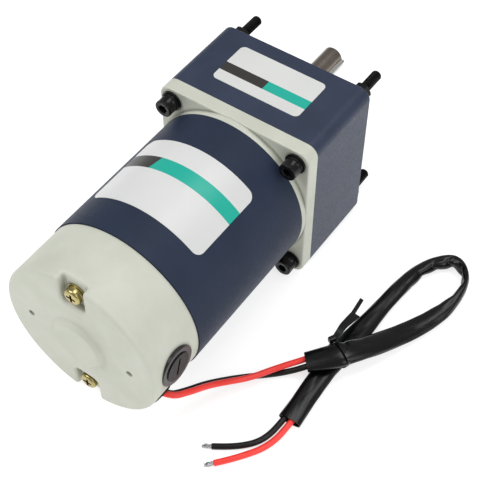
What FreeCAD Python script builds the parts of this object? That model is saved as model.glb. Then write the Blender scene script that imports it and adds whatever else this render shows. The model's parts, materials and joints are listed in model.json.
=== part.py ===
"""Geared DC motor: an 80 mm square gear case on an 80 mm round brushed motor, with a free lead.

Frame: origin at the centre of the gear case's front face, on the motor's axis. +Y points out along
the output shaft, +X to the right, +Z up. The motor lies on the floor at z = -FRAME_WIDTH / 2.
All lengths are in millimetres.
"""
import FreeCAD, Part
import math
import os

V = FreeCAD.Vector
AXIS = V(0, 1, 0)

# ---- overall sizes -------------------------------------------------------------------------
FRAME_WIDTH = 80.0          # square of the gear case and the front bracket
CORNER_R = 5.5              # vertical corner radius of that square
GEARBOX_LENGTH = 43.5
FLANGE_THICKNESS = 6.7      # square plate of the front bracket
SPIGOT_LENGTH = 3.0         # round part of the bracket between plate and tube
TUBE_R = 40.0
TUBE_WALL = 3.0
TUBE_LENGTH = 76.8
CAP_R = 39.5
CAP_LENGTH = 29.2
CAP_WALL = 3.0
CAP_END_WALL = 5.2
EDGE_FILLET = 2.0

# ---- clearances ----------------------------------------------------------------------------
RUNNING = 0.03              # radial, shaft in bush
SLIP = 0.05                 # radial, pieces pushed or screwed together
BOLT_CLEARANCE = 0.15       # radial, screw through a plain hole
PLATE_GAP = 0.2             # middle plate in its recess, each side
REGISTER_GAP = 0.15         # registers inside the tube, radial
OVERCUT = 1.0               # how far a cutter reaches past the surface it opens

# ---- gear train ----------------------------------------------------------------------------
SHAFT_OFFSET = 15.0         # output shaft above the motor axis
STAGE_MODULES = (0.75, 0.8, 1.0)
PINION_TEETH = (15, 15, 12)
GEAR_TEETH = (45, 50, 36)
PRESSURE_ANGLE = math.radians(20)
ADDENDUM = 0.8              # in modules, stub teeth
DEDENDUM = 1.1              # in modules
BACKLASH = 0.16             # at the pitch circle
FLANK_POINTS = 6
GEAR_FACE = 5.0             # face width of the first two gears
OUTPUT_GEAR_FACE = 8.0
PINION_EXTRA = 0.3          # a pinion is this much longer than its gear at each end
LAYSHAFT_R = 3.0
BUSH_R = 5.0
BUSH_LENGTH = 4.0
SHAFT_END_PLAY = 0.5
LAYER_GAP = 1.0             # between neighbouring gear layers and walls

# ---- gear case -----------------------------------------------------------------------------
FRONT_WALL = 8.0
SIDE_WALL = 3.5
LEDGE_WIDTH = 2.5
COLUMN_R = 5.2
CORNER_BLOCK_X = 20.5
CORNER_BLOCK_Z = 27.0
PLATE_THICKNESS = 6.5
PLATE_SCREW_X = 24.5
PLATE_SCREW_Z = 31.5
PLATE_SCREW_R = 1.5
PLATE_SCREW_HEAD_R = 2.75
PLATE_SCREW_HEAD = 2.0
PLATE_SCREW_GRIP = 6.0      # thread in the case
CASE_EDGE_FILLET = 0.8
BOSS_R = 14.0
BOSS_HEIGHT = 3.5
SPOTFACE_R = 5.4
SPOTFACE_DEPTH = 0.3

# ---- output --------------------------------------------------------------------------------
OUTPUT_R = 5.0
OUTPUT_TIP = 35.0
OUTPUT_CHAMFER = 0.6
COLLAR_R = OUTPUT_R + 1.4
KEY_WIDTH = 4.0
KEY_HEIGHT = 4.0
KEY_DEPTH = 2.5             # below the shaft's surface
KEY_LENGTH = 25.0
KEY_FROM_TIP = 0.7
KEY_FILLET = 0.3
KEY_ANGLE = -15.0           # degrees above +X
SEAL_R = OUTPUT_R + 5.0
SEAL_LENGTH = 3.0

# ---- mounting hardware -----------------------------------------------------------------------
SCREW_SPACING = 66.46       # square pattern, 94 mm pitch circle
SCREW_R = 2.2               # reduced shank, at the thread's pitch radius
SCREW_THREAD_R = 2.5        # threaded end in front of the nut
SCREW_HEAD_R = 4.25
SCREW_HEAD = 5.0
SCREW_LENGTH = 70.0
SCREW_HEAD_FILLET = 0.5
SCREW_SOCKET_FLATS = 4.0
SCREW_SOCKET_DEPTH = 2.6
SCREW_TIP_CHAMFER = 0.6
SPRING_WASHER_R = 4.4
SPRING_WASHER = 1.2
FLAT_WASHER_R = 5.0
FLAT_WASHER = 1.0
WASHER_HOLE_R = 2.65
NUT_FLATS = 8.0
NUT_HEIGHT = 4.0
NUT_CHAMFER = 0.45

# ---- motor ---------------------------------------------------------------------------------
MOTOR_SHAFT_R = 4.0
REGISTER_LENGTH = 3.0
BRACKET_HUB_R = 15.0
BRACKET_HUB_DEPTH = 7.3     # hub behind the spigot's end
SHAFT_HOLE_R = 4.6
PINION_TAIL = 1.0           # teeth past the first gear, towards the motor
MAGNET_LENGTH = 60.0
MAGNET_THICKNESS = 8.0
MAGNET_ARC = 120.0
MAGNET_START = 9.0          # behind the tube's front end
AIR_GAP = 0.8
CORE_LENGTH = 46.0
CORE_START = 17.0           # behind the tube's front end
CORE_SLOTS = 12
SLOT_R = 3.4
SLOT_PITCH_R = 21.5
SLOT_OPENING = 2.4
WINDING_GAP = 0.2
END_TURN = 8.0
END_TURN_INNER_R = 9.0
COMMUTATOR_R = 12.5
COMMUTATOR_LENGTH = 13.0
COMMUTATOR_SEGMENTS = 24
COMMUTATOR_SLIT = 0.6
COMMUTATOR_SLIT_DEPTH = 1.2
BRUSH_FROM_JOINT = 15.0     # brush axis behind the joint of tube and rear cap
BRUSH_WIDTH = 9.0
BRUSH_HEIGHT = 6.0
BRUSH_LENGTH = 13.0
BRUSH_AIR = 0.1             # brush to commutator
BRUSH_FIT = 0.1
HOLDER_R = 8.0
HOLDER_COLLAR_R = 9.6
HOLDER_COLLAR_FROM = 38.2
HOLDER_COLLAR_TO = 40.0
HOLDER_FROM = 14.5
BRUSH_CAP_R = 7.0
BRUSH_CAP_FROM = 35.5
BRUSH_CAP_TO = 40.5
BRUSH_CAP_FILLET = 0.4
BRUSH_CAP_SLOT = 1.0
BRUSH_CAP_SLOT_LENGTH = 9.0
BRUSH_CAP_SLOT_DEPTH = 1.2
BRUSH_CAP_SLOT_ANGLE = 17.0
SPRING_R = 2.3
SPRING_WIRE_R = 0.3
SPRING_PITCH = 1.7

# ---- ball bearings: (outer radius, bore radius, width, ball radius, balls) ---------------------
BEARING_6000 = (OUTPUT_R + 8.0, OUTPUT_R, 8.0, 2.2, 8)
BEARING_6800 = (OUTPUT_R + 4.5, OUTPUT_R, 5.0, 1.25, 10)
BEARING_608 = (MOTOR_SHAFT_R + 7.0, MOTOR_SHAFT_R, 7.0, 1.9, 8)
GROOVE_GAP = 0.05
RACE_SHARE = 0.45           # how much of the ball's radius each race stands off the pitch circle
BEARING_RECESS = 0.9        # armature front bearing in front of the hub's rear end

# ---- rear cap details --------------------------------------------------------------------------
DISC_R = 13.4               # foot of the centre boss
DISC_TOP_R = 11.4
DISC_HEIGHT = 2.6
DISC_FILLET = 1.3
DISC_FOOT_FILLET = 1.5
CAP_EDGE_BREAK = 0.35       # round on the cap's front edge
REAR_HUB_R = 14.5
REAR_POCKET_WALL = 3.0      # metal behind the rear bearing
NOTCH_HALF_WIDTH = 6.2
NOTCH_INNER = 24.2
NOTCH_DEPTH = 4.0
NOTCH_WALL = 2.6
NOTCH_CORNER_R = 3.0
NOTCH_RIM_FILLET = 1.6
NOTCH_FLOOR_FILLET = 0.7
SMALL_HOLE_X = 26.2
SMALL_HOLE_R = 1.6
THROUGH_BOLT_Z = 30.8
THROUGH_BOLT_R = 2.0
THROUGH_BOLT_HEAD_R = 4.0
THROUGH_BOLT_HEAD = 2.4
THROUGH_BOLT_FILLET = 1.3
THROUGH_BOLT_THREAD = 9.0
CROSS_WIDTH = 1.1
CROSS_LENGTH = 4.6
CROSS_DEPTH = 1.6
BOLT_WASHER_R = 4.6
BOLT_WASHER = 0.8
BOLT_SPRING_R = 4.1
BOLT_SPRING = 0.9

# ---- labels ----------------------------------------------------------------------------------
LABEL_THICKNESS = 0.2
GEARBOX_LABEL_WIDTH = 46.0
GEARBOX_LABEL_LENGTH = 24.8
GEARBOX_LABEL_CENTRE = (-0.8, -20.8)
GEARBOX_LABEL_CORNER = 2.6
MOTOR_LABEL_HALF_ARC = 44.0
MOTOR_LABEL_FRONT = 19.8    # behind the tube's front end
MOTOR_LABEL_LENGTH = 40.5
MOTOR_LABEL_CORNER = 4.0

# ---- leads -----------------------------------------------------------------------------------
LEAD_R = 1.4
SLEEVE_R = 3.0
TINNED_R = 0.85
TINNED_LENGTH = 3.6
GROMMET_ANGLE = -30.0       # degrees above +X
GROMMET_Y = -150.1
GROMMET_R = 4.3
GROMMET_FLANGE_R = 4.8
GROMMET_FLANGE = 0.5
GROMMET_BORE_R = 2.8
ARC_SHARE = 0.45            # of the shorter run, which one end of a bend may use
TIE_CENTRE = V(79.9, -83.5, 0)
TIE_ANGLE = -25.5           # degrees, direction across the bundle, seen from above
TIE_WIDTH = 2.5
TIE_THICKNESS = 1.1
TIE_HALF_WIDTH = 5.2
TIE_LOW = -38.75
TIE_HIGH = -25.5
TIE_HEAD = (3.4, 4.6, 4.0)
TIE_TAIL_END = V(72.6, -51.5, -32.0)

RED_ROUTE = [(30.7, -151.3, -16.9), (38.1, -151.3, -21.1), (42.3, -141.6, -23.0), (45.2, -131.5, -28.3),
             (49.3, -122.7, -33.0), (54.9, -114.8, -35.0), (61.7, -103.6, -34.8), (70.4, -93.3, -32.6),
             (74.2, -88.7, -31.2)]
BLACK_ROUTE = [(29.9, -148.8, -18.1), (35.7, -148.8, -21.5), (39.6, -141.1, -24.7), (42.4, -131.1, -29.7),
               (46.7, -121.7, -34.6), (52.7, -113.3, -37.4), (60.4, -105.9, -38.3), (66.9, -100.4, -36.8),
               (73.2, -95.6, -32.9), (77.2, -91.4, -31.2)]
SLEEVE_ROUTE = [(71.6, -94.4, -32.6), (77.1, -88.6, -28.8), (83.1, -81.3, -28.7), (88.9, -72.0, -32.8),
                (94.9, -61.0, -37.0), (99.4, -51.6, -37.0), (102.9, -42.8, -37.0), (105.9, -33.2, -37.0),
                (107.6, -21.6, -37.0), (108.4, -10.2, -37.0), (103.4, -2.2, -37.0), (94.2, -1.6, -37.0),
                (87.6, -8.4, -37.0), (84.9, -20.6, -37.0), (83.4, -34.4, -37.0), (81.6, -48.6, -37.0),
                (80.0, -62.6, -37.0), (78.5, -75.4, -35.6), (78.9, -90.2, -35.6), (79.9, -105.4, -37.0),
                (80.4, -123.3, -37.0)]
BLACK_TAIL = [(78.7, -117.6, -37.0), (78.5, -124.6, -37.2), (77.8, -131.4, -38.2), (75.0, -137.4, -38.6),
              (70.0, -142.6, -38.6), (63.8, -147.2, -38.6), (59.6, -149.9, -38.6)]
RED_TAIL = [(81.9, -117.6, -37.0), (81.8, -124.6, -37.2), (81.5, -131.4, -38.2), (79.0, -138.6, -38.6),
            (74.2, -145.4, -38.6), (69.0, -151.4, -38.6), (65.0, -155.8, -38.6)]

# ---- places that follow from the sizes above -------------------------------------------------
HALF = FRAME_WIDTH / 2
FLOOR = -HALF
BRACKET_FRONT = -GEARBOX_LENGTH
FLANGE_REAR = BRACKET_FRONT - FLANGE_THICKNESS
TUBE_FRONT = FLANGE_REAR - SPIGOT_LENGTH
TUBE_REAR = TUBE_FRONT - TUBE_LENGTH
CAP_REAR = TUBE_REAR - CAP_LENGTH
CAP_END_INSIDE = CAP_REAR + CAP_END_WALL
TUBE_INNER_R = TUBE_R - TUBE_WALL
REGISTER_R = TUBE_INNER_R - REGISTER_GAP
SCREW_AT = SCREW_SPACING / 2

STAGE_DISTANCE = [m * (p + g) / 2 for m, p, g in zip(STAGE_MODULES, PINION_TEETH, GEAR_TEETH)]
OUTPUT_GEAR_FRONT = -FRONT_WALL - LAYER_GAP - BACKLASH
OUTPUT_GEAR_REAR = OUTPUT_GEAR_FRONT - OUTPUT_GEAR_FACE
PLATE_FRONT = OUTPUT_GEAR_REAR - LAYER_GAP
PLATE_REAR = PLATE_FRONT - PLATE_THICKNESS
STAGE_2_FRONT = PLATE_REAR - LAYER_GAP
STAGE_2_REAR = STAGE_2_FRONT - GEAR_FACE
STAGE_1_FRONT = STAGE_2_REAR - LAYER_GAP
STAGE_1_REAR = STAGE_1_FRONT - GEAR_FACE

MOTOR_AT = (0.0, 0.0)
OUTPUT_AT = (0.0, SHAFT_OFFSET)
LAYSHAFT_1_AT = (-STAGE_DISTANCE[0] * math.sqrt(0.5), -STAGE_DISTANCE[0] * math.sqrt(0.5))

FRONT_BEARING_REAR = TUBE_FRONT - BRACKET_HUB_DEPTH + BEARING_RECESS
FRONT_BEARING_FRONT = FRONT_BEARING_REAR + BEARING_608[2]
REAR_BEARING_REAR = CAP_REAR - DISC_HEIGHT + REAR_POCKET_WALL
REAR_BEARING_FRONT = REAR_BEARING_REAR + BEARING_608[2]
NOTCH_FLOOR = CAP_REAR + NOTCH_DEPTH
ARMATURE_R = TUBE_INNER_R - SLIP - MAGNET_THICKNESS - AIR_GAP
CORE_FRONT = TUBE_FRONT - CORE_START
CORE_REAR = CORE_FRONT - CORE_LENGTH
BRUSH_Y = TUBE_REAR - BRUSH_FROM_JOINT
COMMUTATOR_FRONT = BRUSH_Y + COMMUTATOR_LENGTH / 2
SCREW_UNDER_HEAD = FLANGE_REAR - FLAT_WASHER - SPRING_WASHER
SCREW_TIP = SCREW_UNDER_HEAD + SCREW_LENGTH
WASHER_SEAT = -SPOTFACE_DEPTH
NUT_FRONT = WASHER_SEAT + FLAT_WASHER + NUT_HEIGHT
CORNERS = [(sx, sz) for sx in (-1, 1) for sz in (-1, 1)]


def circles_meet(a, ra, b, rb):
    """The point at distance ra from a and rb from b that lies on the right of the line from a to b."""
    dx = b[0] - a[0]
    dz = b[1] - a[1]
    gap = math.hypot(dx, dz)
    along = (ra ** 2 - rb ** 2 + gap ** 2) / (2 * gap)
    across = math.sqrt(ra ** 2 - along ** 2)
    return (a[0] + (along * dx + across * dz) / gap, a[1] + (along * dz - across * dx) / gap)


LAYSHAFT_2_AT = circles_meet(LAYSHAFT_1_AT, STAGE_DISTANCE[1], OUTPUT_AT, STAGE_DISTANCE[2])


# ---- basic shapes ----------------------------------------------------------------------------
def rod(r, front, rear, at=MOTOR_AT):
    """A cylinder along Y from y = rear to y = front, centred at (x, z)."""
    return Part.makeCylinder(r, front - rear, V(at[0], rear, at[1]), AXIS)


def pipe(r_out, r_in, front, rear, at=MOTOR_AT):
    """A ring along Y."""
    return rod(r_out, front, rear, at).cut(rod(r_in, front, rear, at))


def block(x0, x1, y0, y1, z0, z1):
    """A box between two corners."""
    return Part.makeBox(x1 - x0, y1 - y0, z1 - z0, V(x0, y0, z0))


def rounded_square(half, corner, front, rear):
    """A square prism along Y with rounded long edges."""
    body = block(-half, half, rear, front, -half, half)
    edges = [e for e in body.Edges if abs(e.Length - (front - rear)) < 1e-6 and abs(e.Vertexes[0].X) == half
             and e.Vertexes[0].X == e.Vertexes[1].X and e.Vertexes[0].Z == e.Vertexes[1].Z]
    return body.makeFillet(corner, edges)


def at_angle(shape, degrees):
    """A shape turned about the motor's axis, from +X towards +Z."""
    turned = shape.copy()
    turned.rotate(V(0, 0, 0), AXIS, -degrees)
    return turned


def round_edges(shape, radius, wanted):
    """Fillet the edges for which wanted(edge) holds."""
    return shape.makeFillet(radius, [e for e in shape.Edges if wanted(e)])


def full_circle_at(y, r):
    """A test for the circular edge of radius r in the plane at y."""
    def wanted(edge):
        curve = edge.Curve
        return (isinstance(curve, Part.Circle) and abs(curve.Radius - r) < 1e-6
                and abs(curve.Center.y - y) < 1e-6)
    return wanted


# ---- gears -----------------------------------------------------------------------------------
def involute_angle(base_r, r):
    """How far the involute that starts on the base circle has turned by radius r."""
    t = math.sqrt(max((r / base_r) ** 2 - 1, 0))
    return t - math.atan(t)


def gear(teeth, module, front, rear, at, phase, bore_r):
    """A spur gear with stub involute teeth; a tooth points at angle phase (radians, from +X to +Z)."""
    pitch_r = module * teeth / 2
    base_r = pitch_r * math.cos(PRESSURE_ANGLE)
    tip_r = pitch_r + ADDENDUM * module
    root_r = pitch_r - DEDENDUM * module
    start_r = max(base_r, root_r)
    half_at_pitch = (math.pi * module / 2 - BACKLASH / 2) / (2 * pitch_r)
    offset = half_at_pitch + involute_angle(base_r, pitch_r)

    def point(r, angle):
        return V(at[0] + r * math.cos(angle), rear, at[1] + r * math.sin(angle))

    radii = [start_r + (tip_r - start_r) * i / (FLANK_POINTS - 1) for i in range(FLANK_POINTS)]
    edges = []
    for tooth in range(teeth):
        middle = phase + 2 * math.pi * tooth / teeth
        following = middle + 2 * math.pi / teeth
        rising = [point(r, middle - offset + involute_angle(base_r, r)) for r in radii]
        falling = [point(r, middle + offset - involute_angle(base_r, r)) for r in reversed(radii)]
        for flank in (rising, falling):
            curve = Part.BSplineCurve()
            curve.interpolate(flank)
            edges.append(curve.toShape())
        edges.insert(-1, Part.Arc(rising[-1], point(tip_r, middle), falling[0]).toShape())
        leave = falling[-1]
        enter = point(start_r, following - offset + involute_angle(base_r, start_r))
        if root_r < start_r:
            low_leave = point(root_r, middle + offset)
            low_enter = point(root_r, following - offset)
            edges.append(Part.LineSegment(leave, low_leave).toShape())
            edges.append(Part.Arc(low_leave, point(root_r, (middle + following) / 2), low_enter).toShape())
            edges.append(Part.LineSegment(low_enter, enter).toShape())
        else:
            edges.append(Part.Arc(leave, point(root_r, (middle + following) / 2), enter).toShape())
    body = Part.Face(Part.Wire(edges)).extrude(V(0, front - rear, 0))
    if bore_r:
        body = body.cut(rod(bore_r, front, rear, at))
    return body


def direction(a, b):
    """The angle from point a to point b, from +X towards +Z."""
    return math.atan2(b[1] - a[1], b[0] - a[0])


def meshing_phase(teeth, other_teeth, at, other_at, other_phase):
    """The phase at which a gear meshes with another whose tooth points at other_phase."""
    lead = other_phase - direction(other_at, at)
    return direction(at, other_at) + math.pi / teeth - lead * other_teeth / teeth


PHASE_MOTOR = 0.0
PHASE_GEAR_1 = meshing_phase(GEAR_TEETH[0], PINION_TEETH[0], LAYSHAFT_1_AT, MOTOR_AT, PHASE_MOTOR)
PHASE_PINION_2 = 0.0
PHASE_GEAR_2 = meshing_phase(GEAR_TEETH[1], PINION_TEETH[1], LAYSHAFT_2_AT, LAYSHAFT_1_AT, PHASE_PINION_2)
PHASE_PINION_3 = 0.0
PHASE_GEAR_3 = meshing_phase(GEAR_TEETH[2], PINION_TEETH[2], OUTPUT_AT, LAYSHAFT_2_AT, PHASE_PINION_3)


# ---- bearings ----------------------------------------------------------------------------------
def ball_pitch_r(bearing):
    """Radius of the circle that the ball centres lie on."""
    return (bearing[0] + bearing[1]) / 2


def race_groove(bearing, front, at):
    """The ring-shaped groove that the balls run in."""
    middle = front - bearing[2] / 2
    return Part.makeTorus(ball_pitch_r(bearing), bearing[3] + GROOVE_GAP, V(at[0], middle, at[1]), AXIS)


def bearing_outer(bearing, front, at):
    """The outer ring of a ball bearing."""
    inner_r = ball_pitch_r(bearing) + RACE_SHARE * bearing[3]
    return pipe(bearing[0], inner_r, front, front - bearing[2], at).cut(race_groove(bearing, front, at))


def bearing_inner(bearing, front, at):
    """The inner ring of a ball bearing."""
    outer_r = ball_pitch_r(bearing) - RACE_SHARE * bearing[3]
    return pipe(outer_r, bearing[1], front, front - bearing[2], at).cut(race_groove(bearing, front, at))


def bearing_balls(bearing, front, at):
    """The balls of a bearing, evenly spaced."""
    balls = []
    for i in range(bearing[4]):
        angle = 2 * math.pi * i / bearing[4]
        x = at[0] + ball_pitch_r(bearing) * math.cos(angle)
        z = at[1] + ball_pitch_r(bearing) * math.sin(angle)
        balls.append(Part.makeSphere(bearing[3], V(x, front - bearing[2] / 2, z)))
    return Part.makeCompound(balls)


# ---- gearbox -----------------------------------------------------------------------------------
def screw_holes(front, rear):
    """The four long clearance holes of the mounting screws."""
    holes = [rod(WASHER_HOLE_R, front, rear, (sx * SCREW_AT, sz * SCREW_AT)) for sx, sz in CORNERS]
    return holes[0].multiFuse(holes[1:])


def gearbox_case():
    """Front wall and four sides in one casting, with columns for the long screws."""
    body = rounded_square(HALF, CORNER_R, 0, BRACKET_FRONT)
    body = body.makeFillet(CASE_EDGE_FILLET, [e for e in body.Edges if e.BoundBox.YMin > -1e-6])
    rear_half = HALF - SIDE_WALL
    front_half = rear_half - LEDGE_WIDTH
    rear_space = block(-rear_half, rear_half, BRACKET_FRONT, PLATE_FRONT, -rear_half, rear_half)
    front_space = block(-front_half, front_half, PLATE_FRONT, -FRONT_WALL, -front_half, front_half)
    for sx, sz in CORNERS:
        column = rod(COLUMN_R, PLATE_FRONT, BRACKET_FRONT, (sx * SCREW_AT, sz * SCREW_AT))
        rear_space = rear_space.cut(column)
        corner = block(CORNER_BLOCK_X, HALF, PLATE_FRONT, -FRONT_WALL, CORNER_BLOCK_Z, HALF)
        corner = corner.mirror(V(0, 0, 0), V(1, 0, 0)) if sx < 0 else corner
        corner = corner.mirror(V(0, 0, 0), V(0, 0, 1)) if sz < 0 else corner
        front_space = front_space.cut(corner)
    body = body.cut(rear_space).cut(front_space)
    boss = rounded_rod(BOSS_R, BOSS_HEIGHT, -FRONT_WALL / 2, OUTPUT_AT, CASE_EDGE_FILLET, [BOSS_HEIGHT])
    body = body.fuse(boss)
    body = body.cut(rod(BEARING_6000[0], 0, -FRONT_WALL, OUTPUT_AT))
    body = body.cut(rod(SEAL_R, BOSS_HEIGHT, 0, OUTPUT_AT))
    body = body.cut(rod(BUSH_R, -FRONT_WALL + BUSH_LENGTH, -FRONT_WALL, LAYSHAFT_2_AT))
    body = body.cut(screw_holes(0, BRACKET_FRONT))
    for sx, sz in CORNERS:
        body = body.cut(rod(SPOTFACE_R, 0, -SPOTFACE_DEPTH, (sx * SCREW_AT, sz * SCREW_AT)))
        screw_at = (sx * PLATE_SCREW_X, sz * PLATE_SCREW_Z)
        hole_front = PLATE_FRONT + PLATE_SCREW_GRIP + LAYER_GAP
        body = body.cut(rod(PLATE_SCREW_R + SLIP, hole_front, PLATE_FRONT, screw_at))
    return body


def gearbox_plate():
    """Middle plate with the output shaft's rear bearing and the first layshaft's front bush."""
    half = HALF - SIDE_WALL - PLATE_GAP
    body = block(-half, half, PLATE_REAR, PLATE_FRONT, -half, half)
    for sx, sz in CORNERS:
        body = body.cut(rod(COLUMN_R + PLATE_GAP, PLATE_FRONT, PLATE_REAR, (sx * SCREW_AT, sz * SCREW_AT)))
        screw_at = (sx * PLATE_SCREW_X, sz * PLATE_SCREW_Z)
        body = body.cut(rod(PLATE_SCREW_R + BOLT_CLEARANCE, PLATE_FRONT, PLATE_REAR, screw_at))
    body = body.cut(rod(BEARING_6800[0], PLATE_FRONT, PLATE_FRONT - BEARING_6800[2], OUTPUT_AT))
    body = body.cut(rod(COLLAR_R, PLATE_FRONT, PLATE_REAR, OUTPUT_AT))
    body = body.cut(rod(LAYSHAFT_R + SHAFT_END_PLAY, PLATE_FRONT, PLATE_REAR, LAYSHAFT_2_AT))
    body = body.cut(rod(BUSH_R, PLATE_REAR + BUSH_LENGTH, PLATE_REAR, LAYSHAFT_1_AT))
    return body


def plate_screws():
    """Four M3 screws through the plate into the case."""
    screws = []
    for sx, sz in CORNERS:
        at = (sx * PLATE_SCREW_X, sz * PLATE_SCREW_Z)
        shank = rod(PLATE_SCREW_R, PLATE_FRONT + PLATE_SCREW_GRIP, PLATE_REAR, at)
        screws.append(shank.fuse(rod(PLATE_SCREW_HEAD_R, PLATE_REAR, PLATE_REAR - PLATE_SCREW_HEAD, at)))
    return Part.makeCompound(screws)


def bush(front, at):
    """A plain bearing bush of a layshaft."""
    return pipe(BUSH_R, LAYSHAFT_R + RUNNING, front, front - BUSH_LENGTH, at)


def layshaft(front, rear, at, pinion):
    """A layshaft with its integral pinion."""
    return rod(LAYSHAFT_R, front, rear, at).fuse(pinion)


def layshaft_1():
    """First layshaft, from the plate to the bracket."""
    pinion = gear(PINION_TEETH[1], STAGE_MODULES[1], STAGE_2_FRONT + PINION_EXTRA,
                  STAGE_2_REAR - PINION_EXTRA, LAYSHAFT_1_AT, PHASE_PINION_2, 0)
    front = PLATE_REAR + BUSH_LENGTH - SHAFT_END_PLAY
    return layshaft(front, BRACKET_FRONT - BUSH_LENGTH + SHAFT_END_PLAY, LAYSHAFT_1_AT, pinion)


def layshaft_2():
    """Second layshaft, from the front wall through the plate to the bracket."""
    pinion = gear(PINION_TEETH[2], STAGE_MODULES[2], OUTPUT_GEAR_FRONT + PINION_EXTRA,
                  OUTPUT_GEAR_REAR - PINION_EXTRA, LAYSHAFT_2_AT, PHASE_PINION_3, 0)
    front = -FRONT_WALL + BUSH_LENGTH - SHAFT_END_PLAY
    return layshaft(front, BRACKET_FRONT - BUSH_LENGTH + SHAFT_END_PLAY, LAYSHAFT_2_AT, pinion)


def stage_1_gear():
    """Large gear on the first layshaft."""
    return gear(GEAR_TEETH[0], STAGE_MODULES[0], STAGE_1_FRONT, STAGE_1_REAR, LAYSHAFT_1_AT,
                PHASE_GEAR_1, LAYSHAFT_R)


def stage_2_gear():
    """Large gear on the second layshaft."""
    return gear(GEAR_TEETH[1], STAGE_MODULES[1], STAGE_2_FRONT, STAGE_2_REAR, LAYSHAFT_2_AT,
                PHASE_GEAR_2, LAYSHAFT_R)


def output_gear():
    """Large gear on the output shaft."""
    return gear(GEAR_TEETH[2], STAGE_MODULES[2], OUTPUT_GEAR_FRONT, OUTPUT_GEAR_REAR, OUTPUT_AT,
                PHASE_GEAR_3, OUTPUT_R)


def output_key():
    """Square key in the shaft's keyway."""
    bottom = OUTPUT_R - KEY_DEPTH
    front = OUTPUT_TIP - KEY_FROM_TIP
    body = block(bottom, bottom + KEY_HEIGHT, front - KEY_LENGTH, front, -KEY_WIDTH / 2, KEY_WIDTH / 2)
    outer = at_reach(bottom + KEY_HEIGHT)
    placed = at_angle(round_edges(body, KEY_FILLET, outer), KEY_ANGLE)
    placed.translate(V(OUTPUT_AT[0], 0, OUTPUT_AT[1]))
    return placed


def output_shaft():
    """Output shaft with collar, chamfered tip and keyway."""
    rear = PLATE_FRONT - BEARING_6800[2]
    shaft = rod(OUTPUT_R, OUTPUT_TIP, rear, OUTPUT_AT)
    at_tip = full_circle_at(OUTPUT_TIP, OUTPUT_R)
    shaft = shaft.makeChamfer(OUTPUT_CHAMFER, [e for e in shaft.Edges if at_tip(e)])
    collar = rod(COLLAR_R, -FRONT_WALL, OUTPUT_GEAR_FRONT, OUTPUT_AT)
    return shaft.fuse(collar).cut(output_key())


def output_seal():
    """Lip seal in the boss."""
    return pipe(SEAL_R, OUTPUT_R + SLIP, SEAL_LENGTH, 0, OUTPUT_AT)


# ---- mounting hardware -------------------------------------------------------------------------
def at_screws(make):
    """Four copies of a piece, one on each mounting screw's axis."""
    return Part.makeCompound([make((sx * SCREW_AT, sz * SCREW_AT)) for sx, sz in CORNERS])


def rounded_rod(r, front, rear, at, fillet, ends):
    """A cylinder along Y with rounded edges at the listed ends."""
    body = rod(r, front, rear, at)
    tests = [full_circle_at(y, r) for y in ends]
    return round_edges(body, fillet, lambda edge: any(test(edge) for test in tests))


def hexagon(across_flats, front, rear, at):
    """A hexagonal prism along Y."""
    r = across_flats / math.sqrt(3)
    angles = [math.radians(60 * i) for i in range(7)]
    corners = [V(at[0] + r * math.cos(a), rear, at[1] + r * math.sin(a)) for a in angles]
    return Part.Face(Part.makePolygon(corners)).extrude(V(0, front - rear, 0))


def mounting_screw(at):
    """A long socket-head screw; its threaded end stands out in front of the nut."""
    head_rear = SCREW_UNDER_HEAD - SCREW_HEAD
    body = rounded_rod(SCREW_HEAD_R, SCREW_UNDER_HEAD, head_rear, at, SCREW_HEAD_FILLET, [head_rear])
    body = body.fuse(rod(SCREW_R, NUT_FRONT, SCREW_UNDER_HEAD, at))
    thread = rod(SCREW_THREAD_R, SCREW_TIP, NUT_FRONT, at)
    tip = [e for e in thread.Edges if full_circle_at(SCREW_TIP, SCREW_THREAD_R)(e)]
    body = body.fuse(thread.makeChamfer(SCREW_TIP_CHAMFER, tip))
    return body.cut(hexagon(SCREW_SOCKET_FLATS, head_rear + SCREW_SOCKET_DEPTH, head_rear, at))


def mounting_spring_washer(at):
    """Spring washer under the screw's head."""
    return pipe(SPRING_WASHER_R, WASHER_HOLE_R, FLANGE_REAR - FLAT_WASHER, SCREW_UNDER_HEAD, at)


def mounting_flat_washers():
    """Eight flat washers: one behind the flange and one on the front face at each screw."""
    washers = []
    for front in (FLANGE_REAR, WASHER_SEAT + FLAT_WASHER):
        def washer(at):
            return pipe(FLAT_WASHER_R, WASHER_HOLE_R, front, front - FLAT_WASHER, at)
        washers += at_screws(washer).Solids
    return Part.makeCompound(washers)


def mounting_nut(at):
    """Hexagon nut on the front face, its corners turned off at both ends."""
    rear = WASHER_SEAT + FLAT_WASHER
    corner_r = NUT_FLATS / math.sqrt(3)
    turned = rod(corner_r, NUT_FRONT, rear, at)
    turned = turned.makeChamfer(NUT_CHAMFER, turned.Edges[0:1] + turned.Edges[2:3])
    body = hexagon(NUT_FLATS, NUT_FRONT, rear, at).common(turned)
    return body.cut(rod(SCREW_THREAD_R + SLIP, NUT_FRONT, rear, at))


# ---- motor -------------------------------------------------------------------------------------
def at_bolts(make):
    """Two copies of a piece, one on each through-bolt's axis."""
    return Part.makeCompound([make((0, sz * THROUGH_BOLT_Z)) for sz in (-1, 1)])


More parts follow.
